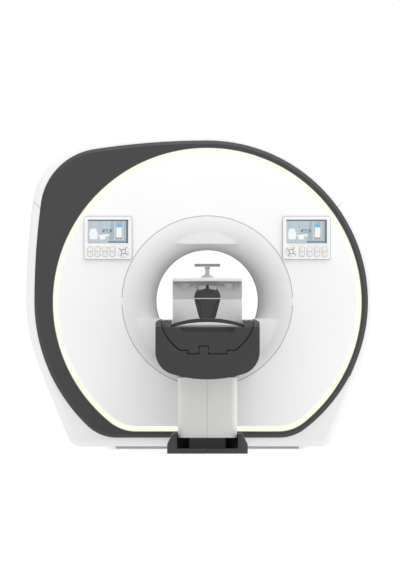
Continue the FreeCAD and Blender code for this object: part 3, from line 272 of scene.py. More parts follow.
opal = moulded("opal_strip", ("#3A3A36", "#383834"), 40, 2, 0.02, 0.5, Emission_Strength=0.97)
opal.node_tree.nodes["Principled BSDF"].inputs["Emission Color"].default_value = paint("#FFFFEC")
finishes["light_diffuser"] = opal

silver = moulded("silvered_acrylic", ("#E6E8E8", "#E2E4E4"), 60, 30, 0.01, 0.05, Metallic=1.0)
finishes["mirror_glass"] = silver

glass = moulded("cover_glass_edge", ("#2B2F33", "#282C30"), 40, 20, 0.005, 0.12)
finishes["screen_glass"] = glass
print("finishes", len(finishes))

# %% [markdown]
# ## Dressing the CAD pieces
# A CAD piece keeps its shape and only has its material slot filled. The imported record already says
# which finish each node wants, so a loop is all it takes.
# %% Give every node its finish
# steel inside the base is grey; the floor frame is given white where it shows under the covers: painted
# light, so the shaded gap there reads as bright as the floor
base_steel = moulded("grey_steel_enamel", ("#8C8C8C", "#848484"), 20, 2, 0.03, 0.6)
frame_painted_light = moulded("frame_painted_light_enamel", ("#F2F2F2", "#EEEEEE"), 90, 5, 0.03, 0.5)
# the liner's plain inside is a greyer sheet than the moulded mouth
liner_sheet = moulded("liner_sheet", ("#B4B4B4", "#ADADAD"), 150, 6, 0.03, 0.6)
special = {"lift_outer_stage": base_steel, "base_plate": base_steel, "floor_frame": frame_painted_light,
           "bore_liner": liner_sheet}

slot_of = {part["node"]: part["material_slot"] for part in frame["record"]["subparts"]}
for name, node in nodes.items():
    node.data.materials.clear()
    node.data.materials.append(finishes[slot_of[name]])
for name, finish in special.items():
    nodes[name].data.materials[0] = finish
print("dressed", len(nodes), "nodes in", len(set(slot_of.values())), "finishes")

# %% [markdown]
# ## Floor
# A white studio floor that is lit from within, like the glass table of a product studio, so the
# machine's underside is not lost in a black shadow.
# %% Floor
FLOOR_HALF = 120
floor_mesh = bpy.data.meshes.new("studio_floor")
bm = bmesh.new()
bmesh.ops.create_grid(bm, x_segments=1, y_segments=1, size=FLOOR_HALF)
bm.to_mesh(floor_mesh)
bm.free()
floor = bpy.data.objects.new("studio_floor", floor_mesh)
floor_finish = moulded("lit_white_floor", ("#9A9A9A", "#989898"), 900, 40, 0.01, 0.9,
                       Emission_Strength=0.72)
floor_finish.node_tree.nodes["Principled BSDF"].inputs["Emission Color"].default_value = (1, 1, 1, 1)
floor_mesh.materials.append(floor_finish)
scene.collection.objects.link(floor)
print("floor", 2 * FLOOR_HALF, "m square")

# %% [markdown]
# ## Turning a mesh into a piece
# Each new piece ends the same way. Doubled corners are merged, the faces are turned outwards, the
# finishes are put in its slots, it is told which part of the machine it rides on, and the CAD nodes
# that it stands for are hidden. Shading is smooth except across real corners.
# %% Piece helpers
body_of = {name: node["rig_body"] for name, node in nodes.items()}


def make_piece(bm, name, body, skins, stands_for=(), corner=35):
    """Finish a bmesh as a piece of the machine."""
    bmesh.ops.remove_doubles(bm, verts=bm.verts, dist=WELD)
    bmesh.ops.recalc_face_normals(bm, faces=bm.faces)
    mesh = bpy.data.meshes.new(name)
    bm.to_mesh(mesh)
    bm.free()
    for skin in skins:
        mesh.materials.append(skin)
    mesh.shade_smooth()
    mesh.set_sharp_from_angle(angle=math.radians(corner))
    piece = bpy.data.objects.new(name, mesh)
    scene.collection.objects.link(piece)
    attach(piece, body)
    if stands_for:
        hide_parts(*stands_for)
    print(f"{name}: {len(mesh.polygons)} faces on {body}")
    return piece


def merged_copy(node, flatten=True):
    """A CAD node's mesh with its loose triangles joined and, if wanted, its flat faces made whole."""
    bm = bmesh.new()
    bm.from_mesh(nodes[node].data)
    bmesh.ops.remove_doubles(bm, verts=bm.verts, dist=WELD)
    if flatten:
        bmesh.ops.dissolve_limit(bm, angle_limit=math.radians(0.8), verts=bm.verts, edges=bm.edges)
    return bm


def round_corners(bm, radius, segments=2, sharp=40, where=lambda edge: True):
    """Bevel every real corner that passes the test, and return the new faces."""
    corners = [edge for edge in bm.edges
               if len(edge.link_faces) == 2 and where(edge)
               and edge.calc_face_angle(0) > math.radians(sharp)]
    made = bmesh.ops.bevel(bm, geom=corners, offset=radius * MM, offset_type="OFFSET",
                           affect="EDGES", segments=segments, profile=0.5, material=-1,
                           clamp_overlap=True)
    return made["faces"]


def slice_at(bm, spot, way):
    """Cut a whole mesh along the plane through a spot that is square to a way."""
    bmesh.ops.bisect_plane(bm, geom=bm.verts[:] + bm.edges[:] + bm.faces[:], plane_co=spot,
                           plane_no=way)


print("bodies to ride on", len(set(body_of.values())))

# %% [markdown]
# ## Moulded edges
# No moulding has a knife edge: the tool gives every corner a small radius, and that radius is what
# catches the light. These pieces have the right shape in the CAD model, so a merged copy of each is
# bevelled by the radius that its material is made with, and stands for the CAD node.
# %% Pieces that only need their corners rounded
soft_radius = {
    "cradle": 2.0, "table_body": 2.5,
    "base_left": 4.0, "base_right": 4.0,
}
for name, radius in soft_radius.items():
    bm = merged_copy(name)
    round_corners(bm, radius)
    make_piece(bm, name + "_moulding", body_of[name], [finishes[slot_of[name]]],
               [name])

# %% [markdown]
# ## End cap of the cradle
# The cap closes the cradle towards the room. It carries a long recess that fingers fit into, whose
# faces are given the dark rubber of the handle: painted shade, so it reads as a grip from a distance.
# The front faces of its rounded rim are painted black: painted shadow that widens the dark line of the
# gap to the trough.
# %% End cap with painted shade in its grip and at its gap
# black used as painted shade: on the cap's front rim it widens the gap's dark line, and it fills the
# strap grooves
gap_shade_black = moulded("black_painted_gap_shade", ("#0E0E0E", "#0B0B0B"), 20, 2, 0.02, 0.6)
cap_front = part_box("cradle_end_cap")[0].y
cap_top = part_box("push_handle")[0].z
GRIP_HALF, GRIP_START, GRIP_END, GRIP_UNDER_AXIS = 185, 3, 36, 190
GAP_SHADE_END, GAP_SHADE_UNDER_TOP, GRIP_UNDER_TOP = 4, 3, 34
bm = merged_copy("cradle_end_cap")
rounded_faces = round_corners(bm, 3.5, 2, 60)
# faces inside the recess get the handle's dark rubber: painted shade in the grip
for face in bm.faces:
    spot = face.calc_center_median()
    behind = cap_front + GRIP_START * MM < spot.y < cap_front + GRIP_END * MM
    above = spot.z > axis - GRIP_UNDER_AXIS * MM
    face.material_index = 1 if behind and above and abs(spot.x) < GRIP_HALF * MM else 0
# front faces of the rounded rim are painted black: painted shadow of the gap to the trough
for face in rounded_faces:
    spot = face.calc_center_median()
    in_grip = abs(spot.x) < (GRIP_HALF - 1) * MM and spot.z > cap_top - GRIP_UNDER_TOP * MM
    in_front = spot.y < cap_front + GAP_SHADE_END * MM
    if in_front and spot.z < cap_top - GAP_SHADE_UNDER_TOP * MM and not in_grip:
        face.material_index = 2
print("faces in the grip", sum(face.material_index == 1 for face in bm.faces))
make_piece(bm, "end_cap_moulding", "cradle",
           [finishes[slot_of["cradle_end_cap"]], finishes["handle_rubber"], gap_shade_black],
           ["cradle_end_cap"])

# %% [markdown]
# The push handle is a rubber arch cast round a rod. Its ends run on into the cheeks of the cap, so
# the visible arch is a little wider than the clear space between the rails.
# %% Push handle
HANDLE_REACH = 1.08
bm = merged_copy("push_handle")
round_corners(bm, 5, 3)
bmesh.ops.scale(bm, verts=bm.verts, vec=(HANDLE_REACH, 1, 1))
make_piece(bm, "handle_arch", "cradle", [finishes["handle_rubber"]],
           ["push_handle"])

# %% [markdown]
# ## Control panels
# Each panel is an injection-moulded box whose four outer corners are well rounded, so that a hand
# that slides over it meets nothing sharp. First the four corners are rounded in outline, then the rim
# of the front gets its small radius.
# %% Panel mouldings
PANEL_CORNER = 14
for name in ("left_panel", "right_panel"):
    low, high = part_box(name)
    bm = merged_copy(name)
    round_corners(bm, PANEL_CORNER, 6, where=lambda e: all(
        min(abs(v.co.x - low.x), abs(v.co.x - high.x)) < LEVEL
        and min(abs(v.co.z - low.z), abs(v.co.z - high.z)) < LEVEL for v in e.verts))
    round_corners(bm, 3.0, 3, where=lambda e: all(v.co.y < low.y + LEVEL for v in e.verts) and any(
        abs(f.normal.y) < 0.5 and (f.calc_center_median() - middle(name)).length > 120 * MM
        for f in e.link_faces))
    make_piece(bm, name + "_moulding", body_of[name], [finishes["panel_white"]], [name])

# %% [markdown]
# A soft gasket closes the joint of panel and face. It is squeezed a little wider than the panel and is
# a darker grey, so from the front it draws a thin grey line round it: partly the seal, partly painted
# shadow round the panel.
# %% Panel gaskets, with painted shadow
# grey darker than the face: partly the seal's own colour, partly painted shadow round the panel
seal_shadow_grey = moulded("panel_seal_shadow", ("#B4B4B4", "#ACACAC"), 30, 2, 0.03, 0.7)
GASKET_REACH, GASKET_DEPTH = 4 * MM, 3 * MM
for name in ("left_panel", "right_panel"):
    low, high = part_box(name)
    bm = bmesh.new()
    corners = [bm.verts.new((across, high.y, up)) for across, up in (
        (low.x - GASKET_REACH, low.z - GASKET_REACH), (high.x + GASKET_REACH, low.z - GASKET_REACH),
        (high.x + GASKET_REACH, high.z + GASKET_REACH), (low.x - GASKET_REACH, high.z + GASKET_REACH))]
    bm.faces.new(corners)
    bmesh.ops.bevel(bm, geom=corners, offset=(PANEL_CORNER + 4) * MM, offset_type="OFFSET",
                    affect="VERTICES", segments=6, profile=0.5, material=-1)
    bmesh.ops.inset_region(bm, faces=bm.faces[:], thickness=GASKET_REACH, depth=0, use_boundary=True)
    inner = max(bm.faces, key=lambda face: face.calc_area())
    bmesh.ops.delete(bm, geom=[inner], context="FACES_ONLY")
    raised = bmesh.ops.extrude_face_region(bm, geom=bm.faces[:])["geom"]
    bmesh.ops.translate(bm, verts=[v for v in raised if isinstance(v, bmesh.types.BMVert)],
                        vec=(0, -GASKET_DEPTH, 0))
    make_piece(bm, name + "_seal_shadow", "gantry", [seal_shadow_grey])

# %% [markdown]
# ## Bezel
# The graphite bezel is a painted frame whose outer edge falls away in a broad flat chamfer before it
# meets the covers. A copy is cut all round a little behind its front, and the outline that lies in
# front of the cut is drawn inwards, which leaves the inner edge at the light strip as it was.
# %% Bezel with its chamfer
CHAMFER_WIDTH, CHAMFER_FALL = 32, 24
bm = merged_copy("dark_bezel", flatten=False)
bezel_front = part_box("dark_bezel")[0].y
bezel_middle = middle("dark_bezel")
slice_at(bm, (0, bezel_front + CHAMFER_FALL * MM, 0), (0, 1, 0))
drawn = {}
for vert in bm.verts:
    sides = [f for f in vert.link_faces if abs(f.normal.y) < 0.5]
    if vert.co.y < bezel_front + LEVEL and sides:
        outward = sum((f.normal for f in sides), Vector()).normalized()
        if outward.dot(vert.co - bezel_middle) > 0:
            drawn[vert] = outward
for vert, outward in drawn.items():
    vert.co -= outward * CHAMFER_WIDTH * MM
print("chamfered outline points", len(drawn))
make_piece(bm, "bezel_frame", "gantry", [finishes["graphite_paint"]], ["dark_bezel"],
           corner=12)

# %% [markdown]
# ## Flared mouth
# The flare is laid up in one mould with its brow and its two docking ledges, so where a flat part
# runs into the round one there is no edge, only a slow turn. The CAD surface meets there at a slight
# angle. A copy is cut into a grid across its flat parts, and smooth shading then spreads the turn
# over one cell of the grid, while the real corners under the brow stay sharp.
# %% Flare as one smooth moulding
CELL, LONG_EDGE = 45, 60


def large_faces(bm):
    """Faces with an edge long enough to need a cut."""
    return [f for f in bm.faces if max(e.calc_length() for e in f.edges) > LONG_EDGE * MM]


bm = merged_copy("front_flare", flatten=False)
print("large faces of the flare", len(large_faces(bm)))
for axis_way, low_edge, high_edge in ((0, mouth_low.x, mouth_high.x), (2, mouth_low.z, mouth_high.z)):
    for cut in range(int((high_edge - low_edge) / (CELL * MM))):
        spot = [0, 0, 0]
        way = [0, 0, 0]
        spot[axis_way] = low_edge + (cut + 0.5) * CELL * MM
        way[axis_way] = 1
        big = large_faces(bm)
        parts = set(big)
        for face in big:
            parts.update(face.verts)
            parts.update(face.edges)
        bmesh.ops.bisect_plane(bm, geom=list(parts), plane_co=spot, plane_no=way)
make_piece(bm, "flared_mouth", "gantry", [finishes["bore_white"]], ["front_flare"],
           corner=32)

# %% [markdown]
# ## Column cover
# Two plastic half shells meet at a seam in the middle. Near the lower edge a shallow groove runs
# round them, where a trim strip clips in. Two cuts across a merged copy mark the groove's edges, and
# the band between them is pushed in.
# %% Column cover halves
GROOVE_LOW, GROOVE_HIGH, GROOVE_DEPTH = 9, 13, 1.5
column_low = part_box("column_cover_left")[0].z
for name in ("column_cover_left", "column_cover_right"):
    bm = merged_copy(name)
    for height in (GROOVE_LOW, GROOVE_HIGH):
        slice_at(bm, (0, 0, column_low + height * MM), (0, 0, 1))
    core = middle("lift_outer_stage")
    band = []
    for face in bm.faces:
        spot = face.calc_center_median()
        outward = face.normal.dot(Vector((spot.x - core.x, spot.y - core.y, 0)).normalized())
        if outward > 0.3 and GROOVE_LOW * MM < spot.z - column_low < GROOVE_HIGH * MM:
            band.append(face)
    bmesh.ops.inset_region(bm, faces=band, thickness=0.3 * MM, depth=-GROOVE_DEPTH * MM,
                           use_even_offset=True, use_boundary=True)
    make_piece(bm, name + "_shell", body_of[name], [finishes["column_grey"]], [name])

# %% [markdown]
# ## Seal round the bore's mouth
# The white face stops at the flared mouth, and a soft grey seal fills the joint. It is in two arcs
# that leave a short gap at each side. A small rectangle is turned about the bore's axis, which is
# what spin is for, and the open ends are filled.
# %% Rings and arcs


def turn_strip(bm, centre, radius, width, front, depth, start, sweep, steps):
    """Turn a small rectangle about an axis along Y: angles in degrees, zero at +X, up at 90."""
    angle = math.radians(start)
    loop = []
    for reach, along in ((-width / 2, 0), (width / 2, 0), (width / 2, depth), (-width / 2, depth)):
        arm = radius + reach
        loop.append(bm.verts.new((centre[0] + arm * math.cos(angle), front + along,
                                  centre[1] + arm * math.sin(angle))))
    edges = [bm.edges.new((loop[i - 1], loop[i])) for i in range(len(loop))]
    whole = sweep >= 360
    bmesh.ops.spin(bm, geom=loop + edges, cent=(centre[0], front, centre[1]), axis=(0, -1, 0),
                   angle=math.radians(sweep), steps=steps, use_merge=whole, use_duplicate=False)
    if not whole:
        bmesh.ops.holes_fill(bm, edges=[e for e in bm.edges if e.is_boundary], sides=4)


SEAL_WIDTH, SEAL_GAP = 4 * MM, 2.5
seal_finish = moulded("grey_seal", ("#9A9A9A", "#929292"), 30, 2, 0.02, 0.6)
bm = bmesh.new()
for start in (SEAL_GAP, 180 + SEAL_GAP):
    turn_strip(bm, (0, axis), mouth_radius, SEAL_WIDTH, face_y - 0.6 * MM, 1.2 * MM,
               start, 180 - 2 * SEAL_GAP, 90)
make_piece(bm, "mouth_seal", "gantry", [seal_finish])

# %% [markdown]
# ## Screens
# A control panel's screen shows where the table is. Its picture is a few plain shapes: a gantry and
# a table seen from the side, a patient outline with a head, some marks. Each shape is a thin tile of
# its own colour on the glass, so it stays sharp at any size, and a lit display is what its material
# imitates.
# %% Tiles for the picture


def lit(name, code):
    """A colour on a lit display: black glass that gives its own light, in faint rows."""
    finish = moulded(name, ("#121315", "#101113"), 40, 20, 0.002, 0.25, Emission_Strength=1.0)
    tree = finish.node_tree
    place = add(tree, "ShaderNodeTexCoord")
    rows = add(tree, "ShaderNodeTexWave", {"Vector": place.outputs["Object"], "Scale": 60.0},
               bands_direction="Z")
    glow = add(tree, "ShaderNodeMix", {"Factor": rows.outputs["Fac"], "A": paint(code),
                                       "B": [0.96 * part for part in paint(code)[:3]] + [1.0]},
               data_type="RGBA")
    tree.links.new(glow.outputs["Result"], tree.nodes["Principled BSDF"].inputs["Emission Color"])
    return finish


def tile(bm, corners, front, depth, skin, corner_radius=0.0):
    """A thin closed plate facing the table, from (across, up) corners."""
    spots = [bm.verts.new((across, front + depth, up)) for across, up in corners]
    face = bm.faces.new(spots)
    if corner_radius:
        rounded = bmesh.ops.bevel(bm, geom=spots, offset=corner_radius, offset_type="OFFSET",
                                  affect="VERTICES", segments=5, profile=0.5, material=-1)
        face = max((f for v in rounded["verts"] for f in v.link_faces), key=lambda f: f.calc_area())
    face.material_index = skin
    made = bmesh.ops.extrude_face_region(bm, geom=[face])["geom"]
    moved = [item for item in made if isinstance(item, bmesh.types.BMVert)]
    bmesh.ops.translate(bm, verts=moved, vec=(0, -depth, 0))
    for vert in moved:
        for side in vert.link_faces:
            side.material_index = skin


inks = {
    "ground": lit("screen_ground", "#BAC8D1"), "bar": lit("screen_bar", "#4F565A"),
    "shade": lit("screen_shade", "#A5B6BF"), "band": lit("screen_band", "#5F7681"),
    "white": lit("screen_white", "#F4F5F6"), "frame": lit("screen_frame", "#B9B6B7"),
    "halo": lit("screen_halo", "#CBD6DD"), "blue": lit("screen_blue", "#6DBBEA"),
    "mark": lit("screen_mark", "#7C858A"), "pill": lit("screen_pill", "#71868F"),
}
ink_names = list(inks)
# shapes as (ink, layer, corner radius, corners); corners run 0 to 1 across and down the screen
picture = [
    ("bar", 1, 0, [(0, 0), (1, 0), (1, 0.05), (0, 0.05)]),
    ("shade", 1, 0, [(0.57, 0.05), (0.93, 0.05), (0.93, 0.9), (0.52, 0.9)]),
    ("band", 1, 0, [(0.945, 0.05), (1, 0.05), (1, 1), (0.945, 1)]),
    ("band", 2, 0, [(0.50, 0.915), (1, 0.915), (1, 0.975), (0.51, 0.975)]),
    ("frame", 1, 0, [(0, 0.965), (0.5, 0.965), (0.5, 1), (0, 1)]),
    ("white", 2, 4, [(0.075, 0.38), (0.205, 0.38), (0.25, 0.6), (0.235, 0.83), (0.06, 0.83),
                     (0.04, 0.6)]),
    ("white", 2, 1, [(0.26, 0.64), (0.53, 0.62), (0.53, 0.70), (0.27, 0.70)]),
    ("white", 2, 0, [(0.30, 0.70), (0.435, 0.70), (0.435, 0.835), (0.30, 0.835)]),
    ("pill", 2, 1, [(0.36, 0.41), (0.605, 0.41), (0.605, 0.54), (0.36, 0.54)]),
    ("white", 3, 0, [(0.437, 0.43), (0.455, 0.52), (0.418, 0.52)]),
    ("halo", 3, 0, [(0.475, 0.45), (0.55, 0.45), (0.55, 0.50), (0.475, 0.50)]),
    ("halo", 2, 3, [(0.65, 0.07), (0.885, 0.07), (0.885, 0.85), (0.65, 0.85)]),
    ("frame", 3, 7, [(0.675, 0.075), (0.865, 0.075), (0.865, 0.84), (0.675, 0.84)]),
    ("white", 4, 3, [(0.705, 0.25), (0.84, 0.25), (0.84, 0.745), (0.705, 0.745)]),
    ("blue", 5, 0, [(0.7725 + 0.0675 * math.cos(math.radians(turn)),
                     0.27 - 0.12 * math.sin(math.radians(turn))) for turn in range(180, -1, -15)]
     + [(0.84, 0.33), (0.705, 0.33)]),
    ("blue", 4, 1, [(0.71, 0.09), (0.75, 0.09), (0.75, 0.12), (0.71, 0.12)]),
    ("mark", 4, 1, [(0.80, 0.09), (0.835, 0.09), (0.835, 0.12), (0.80, 0.12)]),
    ("mark", 4, 1, [(0.705, 0.77), (0.755, 0.77), (0.755, 0.80), (0.705, 0.80)]),
    ("mark", 4, 1, [(0.79, 0.77), (0.84, 0.77), (0.84, 0.80), (0.79, 0.80)]),
]
for across in (0.06, 0.30):
    for down in (0.095, 0.21, 0.31):
        picture.append(("mark", 2, 0.5, [(across, down), (across + 0.03, down),
                                         (across + 0.03, down + 0.022), (across, down + 0.022)]))
for across in (0.262, 0.315, 0.36):
    picture.append(("pill", 2, 0.5, [(across, 0.59), (across + 0.015, 0.59),
                                     (across + 0.015, 0.62), (across, 0.62)]))
print("shapes in the picture", len(picture))

# %% Both screens
LAYER = 0.12 * MM
for name in ("left_screen", "right_screen"):
    low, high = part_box(name)
    wide, tall = high.x - low.x, high.z - low.z
    bm = bmesh.new()
    glass_front = low.y + 6 * LAYER
    outline = [(low.x, low.z), (high.x, low.z), (high.x, high.z), (low.x, high.z)]
    tile(bm, outline, glass_front, high.y - glass_front, 0)
    for ink, layer, radius, corners in picture:
        spots = [(low.x + across * wide, high.z - down * tall) for across, down in corners]
        tile(bm, spots[::-1], glass_front - layer * LAYER, layer * LAYER, ink_names.index(ink),
             radius * MM)
    make_piece(bm, name + "_picture", "gantry", list(inks.values()), [name])

# %% [markdown]
# ## Small parts of the table
# Two details are thin plates. A black strip fills each strap groove along the rails nearly to the
# top: painted shade, so the groove reads as a dark line. A cover plate lies on each sloped shoulder at
# the foot end, over the slit that the slope cuts into the hollow body.
# %% Strips of painted shade in the strap grooves, and shoulder plates
rail_low, rail_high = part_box("cradle")
groove = sorted({round(v.co.x, 5) for v in nodes["cradle"].data.vertices
                 if rail_high.z - 20 * MM < v.co.z < rail_high.z - 2 * MM and v.co.x > 240 * MM})
print("groove bottoms", groove)
STRIP_HALF = 7.5
# black strips in the grooves: painted shade
bm = bmesh.new()
for side in (1, -1):
    bottom = groove[0] * side
    strip = [(bottom - STRIP_HALF * MM, rail_high.z - 1 * MM),
             (bottom, rail_high.z - (STRIP_HALF + 1) * MM),
             (bottom + STRIP_HALF * MM, rail_high.z - 1 * MM)]
    tile(bm, strip, rail_low.y + 2 * MM, rail_high.y - rail_low.y - 4 * MM, 0)
make_piece(bm, "strap_groove_shade", "cradle", [gap_shade_black])

SLOPE = math.atan2(60, 43)   # rise and run of the shoulder
SHOULDER_IN, SHOULDER_OUT, SHOULDER_LONG = 306 * MM, 334 * MM, 36 * MM
bm = bmesh.new()
for side in (1, -1):
    near, far = sorted((side * SHOULDER_IN, side * SHOULDER_OUT))
    tile(bm, [(near, 0), (far, 0), (far, SHOULDER_LONG), (near, SHOULDER_LONG)], -1 * MM, 2 * MM, 0,
         2 * MM)
bmesh.ops.rotate(bm, verts=bm.verts, cent=(0, 0, 0), matrix=Matrix.Rotation(-SLOPE, 3, "X"))
bmesh.ops.translate(bm, verts=bm.verts, vec=(0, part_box("table_body")[0].y + 1.5 * MM, cap_top + 1 * MM))
make_piece(bm, "shoulder_plates", "table", [finishes[slot_of["table_body"]]])

# %% [markdown]
# ## Keys
# Silicone keys are moulded as one mat: each key has a soft rim, stands in a thin raised surround and
# carries a printed mark. The CAD keys have the right outline, so their copies are given the soft rim,
# and marks and surrounds are added in a darker grey.
# %% Rocker keys
key_mark = moulded("key_print", ("#BFC0C0", "#B8B9B9"), 20, 1, 0.01, 0.6)
key_ring = moulded("key_surround", ("#D2D2D2", "#CCCCCC"), 20, 1, 0.01, 0.5)
# dark grey behind and round the arrow keys: partly the rubber's own colour, partly painted shade in the
# gaps between the keys
membrane_gap_shade = moulded("key_membrane_gap_shade", ("#77797A", "#6E7071"), 20, 1, 0.03, 0.7)
KEY_RIM = 1.6
MARK_RAISED, MARK_DEPTH = 0.3 * MM, 0.6 * MM


def soft_key(node):
    """A copy of a key with its front rim rounded, and its box."""
    low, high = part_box(node)
    bm = merged_copy(node)
    round_corners(bm, KEY_RIM, 3, where=lambda e: all(v.co.y < low.y + LEVEL for v in e.verts))
    return bm, low, high


def two_lobes(low, high):
    """Middle of a rocker key, the radius of its lobes, and how far each is from the middle."""
    lobe = (high.x - low.x) / 2
    return (low.x + high.x) / 2, (low.z + high.z) / 2, lobe, (high.z - low.z) / 2 - lobe


for hand in ("left", "right"):
    for number in (1, 2, 3, 4):
        name = f"{hand}_rocker_key_{number}"
        bm, low, high = soft_key(name)
        x, z, lobe, spread = two_lobes(low, high)
        front = low.y - MARK_RAISED
        waist = [(x - 11 * MM, z - 2.6 * MM), (x + 11 * MM, z - 2.6 * MM),
                 (x + 11 * MM, z + 2.6 * MM), (x - 11 * MM, z + 2.6 * MM)]
        tile(bm, waist, front, MARK_DEPTH, 1, 1.2 * MM)
        for side in (1, -1):
            tip = z + side * (spread + 3.5 * MM)
            arrow = [(x - 3.5 * MM * side, tip - 6 * MM * side),
                     (x + 3.5 * MM * side, tip - 6 * MM * side), (x, tip)]
            tile(bm, arrow, front, MARK_DEPTH, 1)
        make_piece(bm, name + "_cap", name, [finishes["key_silicone"], key_mark],
                   [name])

# %% Arrow pads
for hand in ("left", "right"):
    centre = middle(f"{hand}_centre_key")
    for turns, arrow in enumerate(("right", "up", "left", "down")):
        name = f"{hand}_arrow_{arrow}"
        bm, low, high = soft_key(name)
        way = Vector((math.cos(turns * math.pi / 2), 0, math.sin(turns * math.pi / 2)))
        side = Vector((-way.z, 0, way.x))
        tip = centre + way * 31 * MM
        spots = [tip, tip - way * 6 * MM + side * 4 * MM, tip - way * 6 * MM - side * 4 * MM]
        tile(bm, [(p.x, p.z) for p in spots], low.y - MARK_RAISED, MARK_DEPTH, 1)
        make_piece(bm, name + "_cap", name, [finishes["key_silicone"], key_mark],
                   [name])
    name = f"{hand}_centre_key"
    bm, low, high = soft_key(name)
    make_piece(bm, name + "_cap", name, [finishes["key_silicone"]], [name])

# %% Surrounds, and membranes with painted shade in the key gaps
panel_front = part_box("left_panel")[0].y
BEHIND_KEYS = 3.3 * MM   # more than the keys travel, so a pressed key stays clear
for hand in ("left", "right"):
    bm = bmesh.new()
    for number in (1, 2, 3, 4):
        low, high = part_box(f"{hand}_rocker_key_{number}")
        x, z, lobe, spread = two_lobes(low, high)
        ring = lobe + 2.6 * MM
        hidden = math.degrees(math.acos(spread / ring)) + 3
        for side in (1, -1):
            turn_strip(bm, (x, z + spread * side), ring, 2.0 * MM, panel_front - 0.5 * MM,
                       0.9 * MM, -90 * side + hidden, 360 - 2 * hidden, 40)
    centre = middle(f"{hand}_centre_key")
    up_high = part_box(f"{hand}_arrow_up")[1]
    pad = up_high.z - centre.z
    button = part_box(f"{hand}_centre_key")[1].x - centre.x
    turn_strip(bm, (centre.x, centre.z), pad + 2.2 * MM, 2.4 * MM, panel_front - 0.5 * MM,
               0.9 * MM, 0, 360, 64)
    make_piece(bm, hand + "_key_surrounds", "gantry", [key_ring])
    bm = bmesh.new()
    turn_strip(bm, (centre.x, centre.z), button + 2 * MM, 2.6 * MM, panel_front - 0.6 * MM,
               1 * MM, 0, 360, 48)
    turn_strip(bm, (centre.x, centre.z), button + (pad - button) / 2 + 1.5 * MM,
               pad - button - 4 * MM, up_high.y + BEHIND_KEYS, 0.6 * MM, 0, 360, 64)
    make_piece(bm, hand + "_pad_membrane_shade", "gantry", [membrane_gap_shade])

# %% [markdown]
# ## Head coil, top half
# The top half of the head coil is a polyurethane shell with a flat lid on it. Its front leans back
# above the joint, so that the lid stands out over it and the upper part lies in shade. Two windows at
# the sides let the patient see out, and two tabs come down over the eyes. The shell starts as a
# merged copy of the CAD block. Its top is lowered to make room for the lid, planes cut the outline of
# the windows, and each window is pushed in.
# %% Coil shell
# shell grey, darker than the lower half's plastic: painted shade under the lid
coil_painted_shade_grey = moulded("coil_painted_shade_grey_shell", ("#ABABAB", "#A5A5A5"), 60, 2.5, 0.05, 0.5)
# lighter grey in the windows: painted light seen through them
window_painted_light = moulded("coil_window_painted_light", ("#CACACA", "#C4C4C4"), 40, 2.5, 0.03, 0.4)
# lighter grey of the lid: painted light on its front
lid_painted_light = moulded("coil_lid_painted_light", ("#E8E8E8", "#E3E3E3"), 60, 2.5, 0.03, 0.4)
# knitted liner of the hollow, in a pale grey that is painted light, so the deep inside, which lies in
# shade, is not lost in black
liner_painted_light = moulded("coil_liner_painted_light", ("#D8D8D8", "#CACACA"), 3, 2.2, 0.4, 0.9)
top_low, top_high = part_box("coil_top")
LID, LEAN = 25 * MM, 60 * MM
lid_low = top_high.z - LID
head_middle = top_low.z + 4 * MM


def lines_the_head(face, joint):
    """Whether a face of the coil looks at the head rather than outwards."""
    spot = face.calc_center_median()
    if abs(spot.z - joint) < 1 * MM or abs(spot.x) > 92 * MM or spot.z > head_middle + 92 * MM:
        return False
    inward = face.normal.x * -spot.x + face.normal.z * (head_middle - spot.z)
    back_wall = face.normal.y < -0.9 and spot.y > top_low.y + 200 * MM
    return back_wall or (abs(face.normal.y) < 0.5 and inward > 0.2 * abs(head_middle - spot.z))


bm = merged_copy("coil_top")
# faces of the hollow get the pale grey: painted light
for face in bm.faces:
    face.material_index = 1 if lines_the_head(face, top_low.z) else 0
for vert in bm.verts:
    vert.co.z = min(vert.co.z, lid_low)
    if vert.co.y < top_low.y + 1 * MM:
        vert.co.y += LEAN * (vert.co.z - top_low.z) / (lid_low - top_low.z)
WINDOW_IN, WINDOW_OUT, WINDOW_TOP, SILL_IN, SILL_FALL = 113, 177, 1126, 1098, 28 / 64
cuts = [((across * side, 0, 0), (1, 0, 0)) for across in (WINDOW_IN, WINDOW_OUT) for side in (1, -1)]
cuts += [((WINDOW_IN * side, 0, SILL_IN), (SILL_FALL * side, 0, 1)) for side in (1, -1)]
cuts += [((0, 0, WINDOW_TOP), (0, 0, 1))]
for spot, way in cuts:
    slice_at(bm, Vector(spot) * MM, way)
bm.normal_update()
for side in (1, -1):
    window = []
    for face in bm.faces:
        spot = face.calc_center_median() / MM
        across = spot.x * side
        sill = SILL_IN - (across - WINDOW_IN) * SILL_FALL
        if face.normal.y < -0.5 and WINDOW_IN < across < WINDOW_OUT and sill < spot.z < WINDOW_TOP:
            window.append(face)
    bmesh.ops.inset_region(bm, faces=window, thickness=3 * MM, depth=-9 * MM, use_boundary=True)
    # window faces take the lighter grey: painted light
    for face in window:
        face.material_index = 2
    print("window faces", len(window))

# %% [markdown]
# The lid, the eye tabs and the strip that closes the joint across the opening are mouldings of their
# own, glued to the shell. They are plates with soft edges, added to the same piece.
# %% Lid, eye tabs and joint strip


def soft_plate(bm, corners, front, depth, skin, radius):
    """A plate from (across, up) corners in millimetres, with all its edges rounded."""
    plate = bmesh.new()
    tile(plate, [(across * MM, up * MM) for across, up in corners], front, depth, skin)
    bmesh.ops.recalc_face_normals(plate, faces=plate.faces)
    bmesh.ops.bevel(plate, geom=plate.edges[:], offset=radius * MM, offset_type="OFFSET",
                    affect="EDGES", segments=3, profile=0.5, material=-1, clamp_overlap=True)
    holder = bpy.data.meshes.new("plate")
    plate.to_mesh(holder)
    plate.free()
    bm.from_mesh(holder)
    bpy.data.meshes.remove(holder)


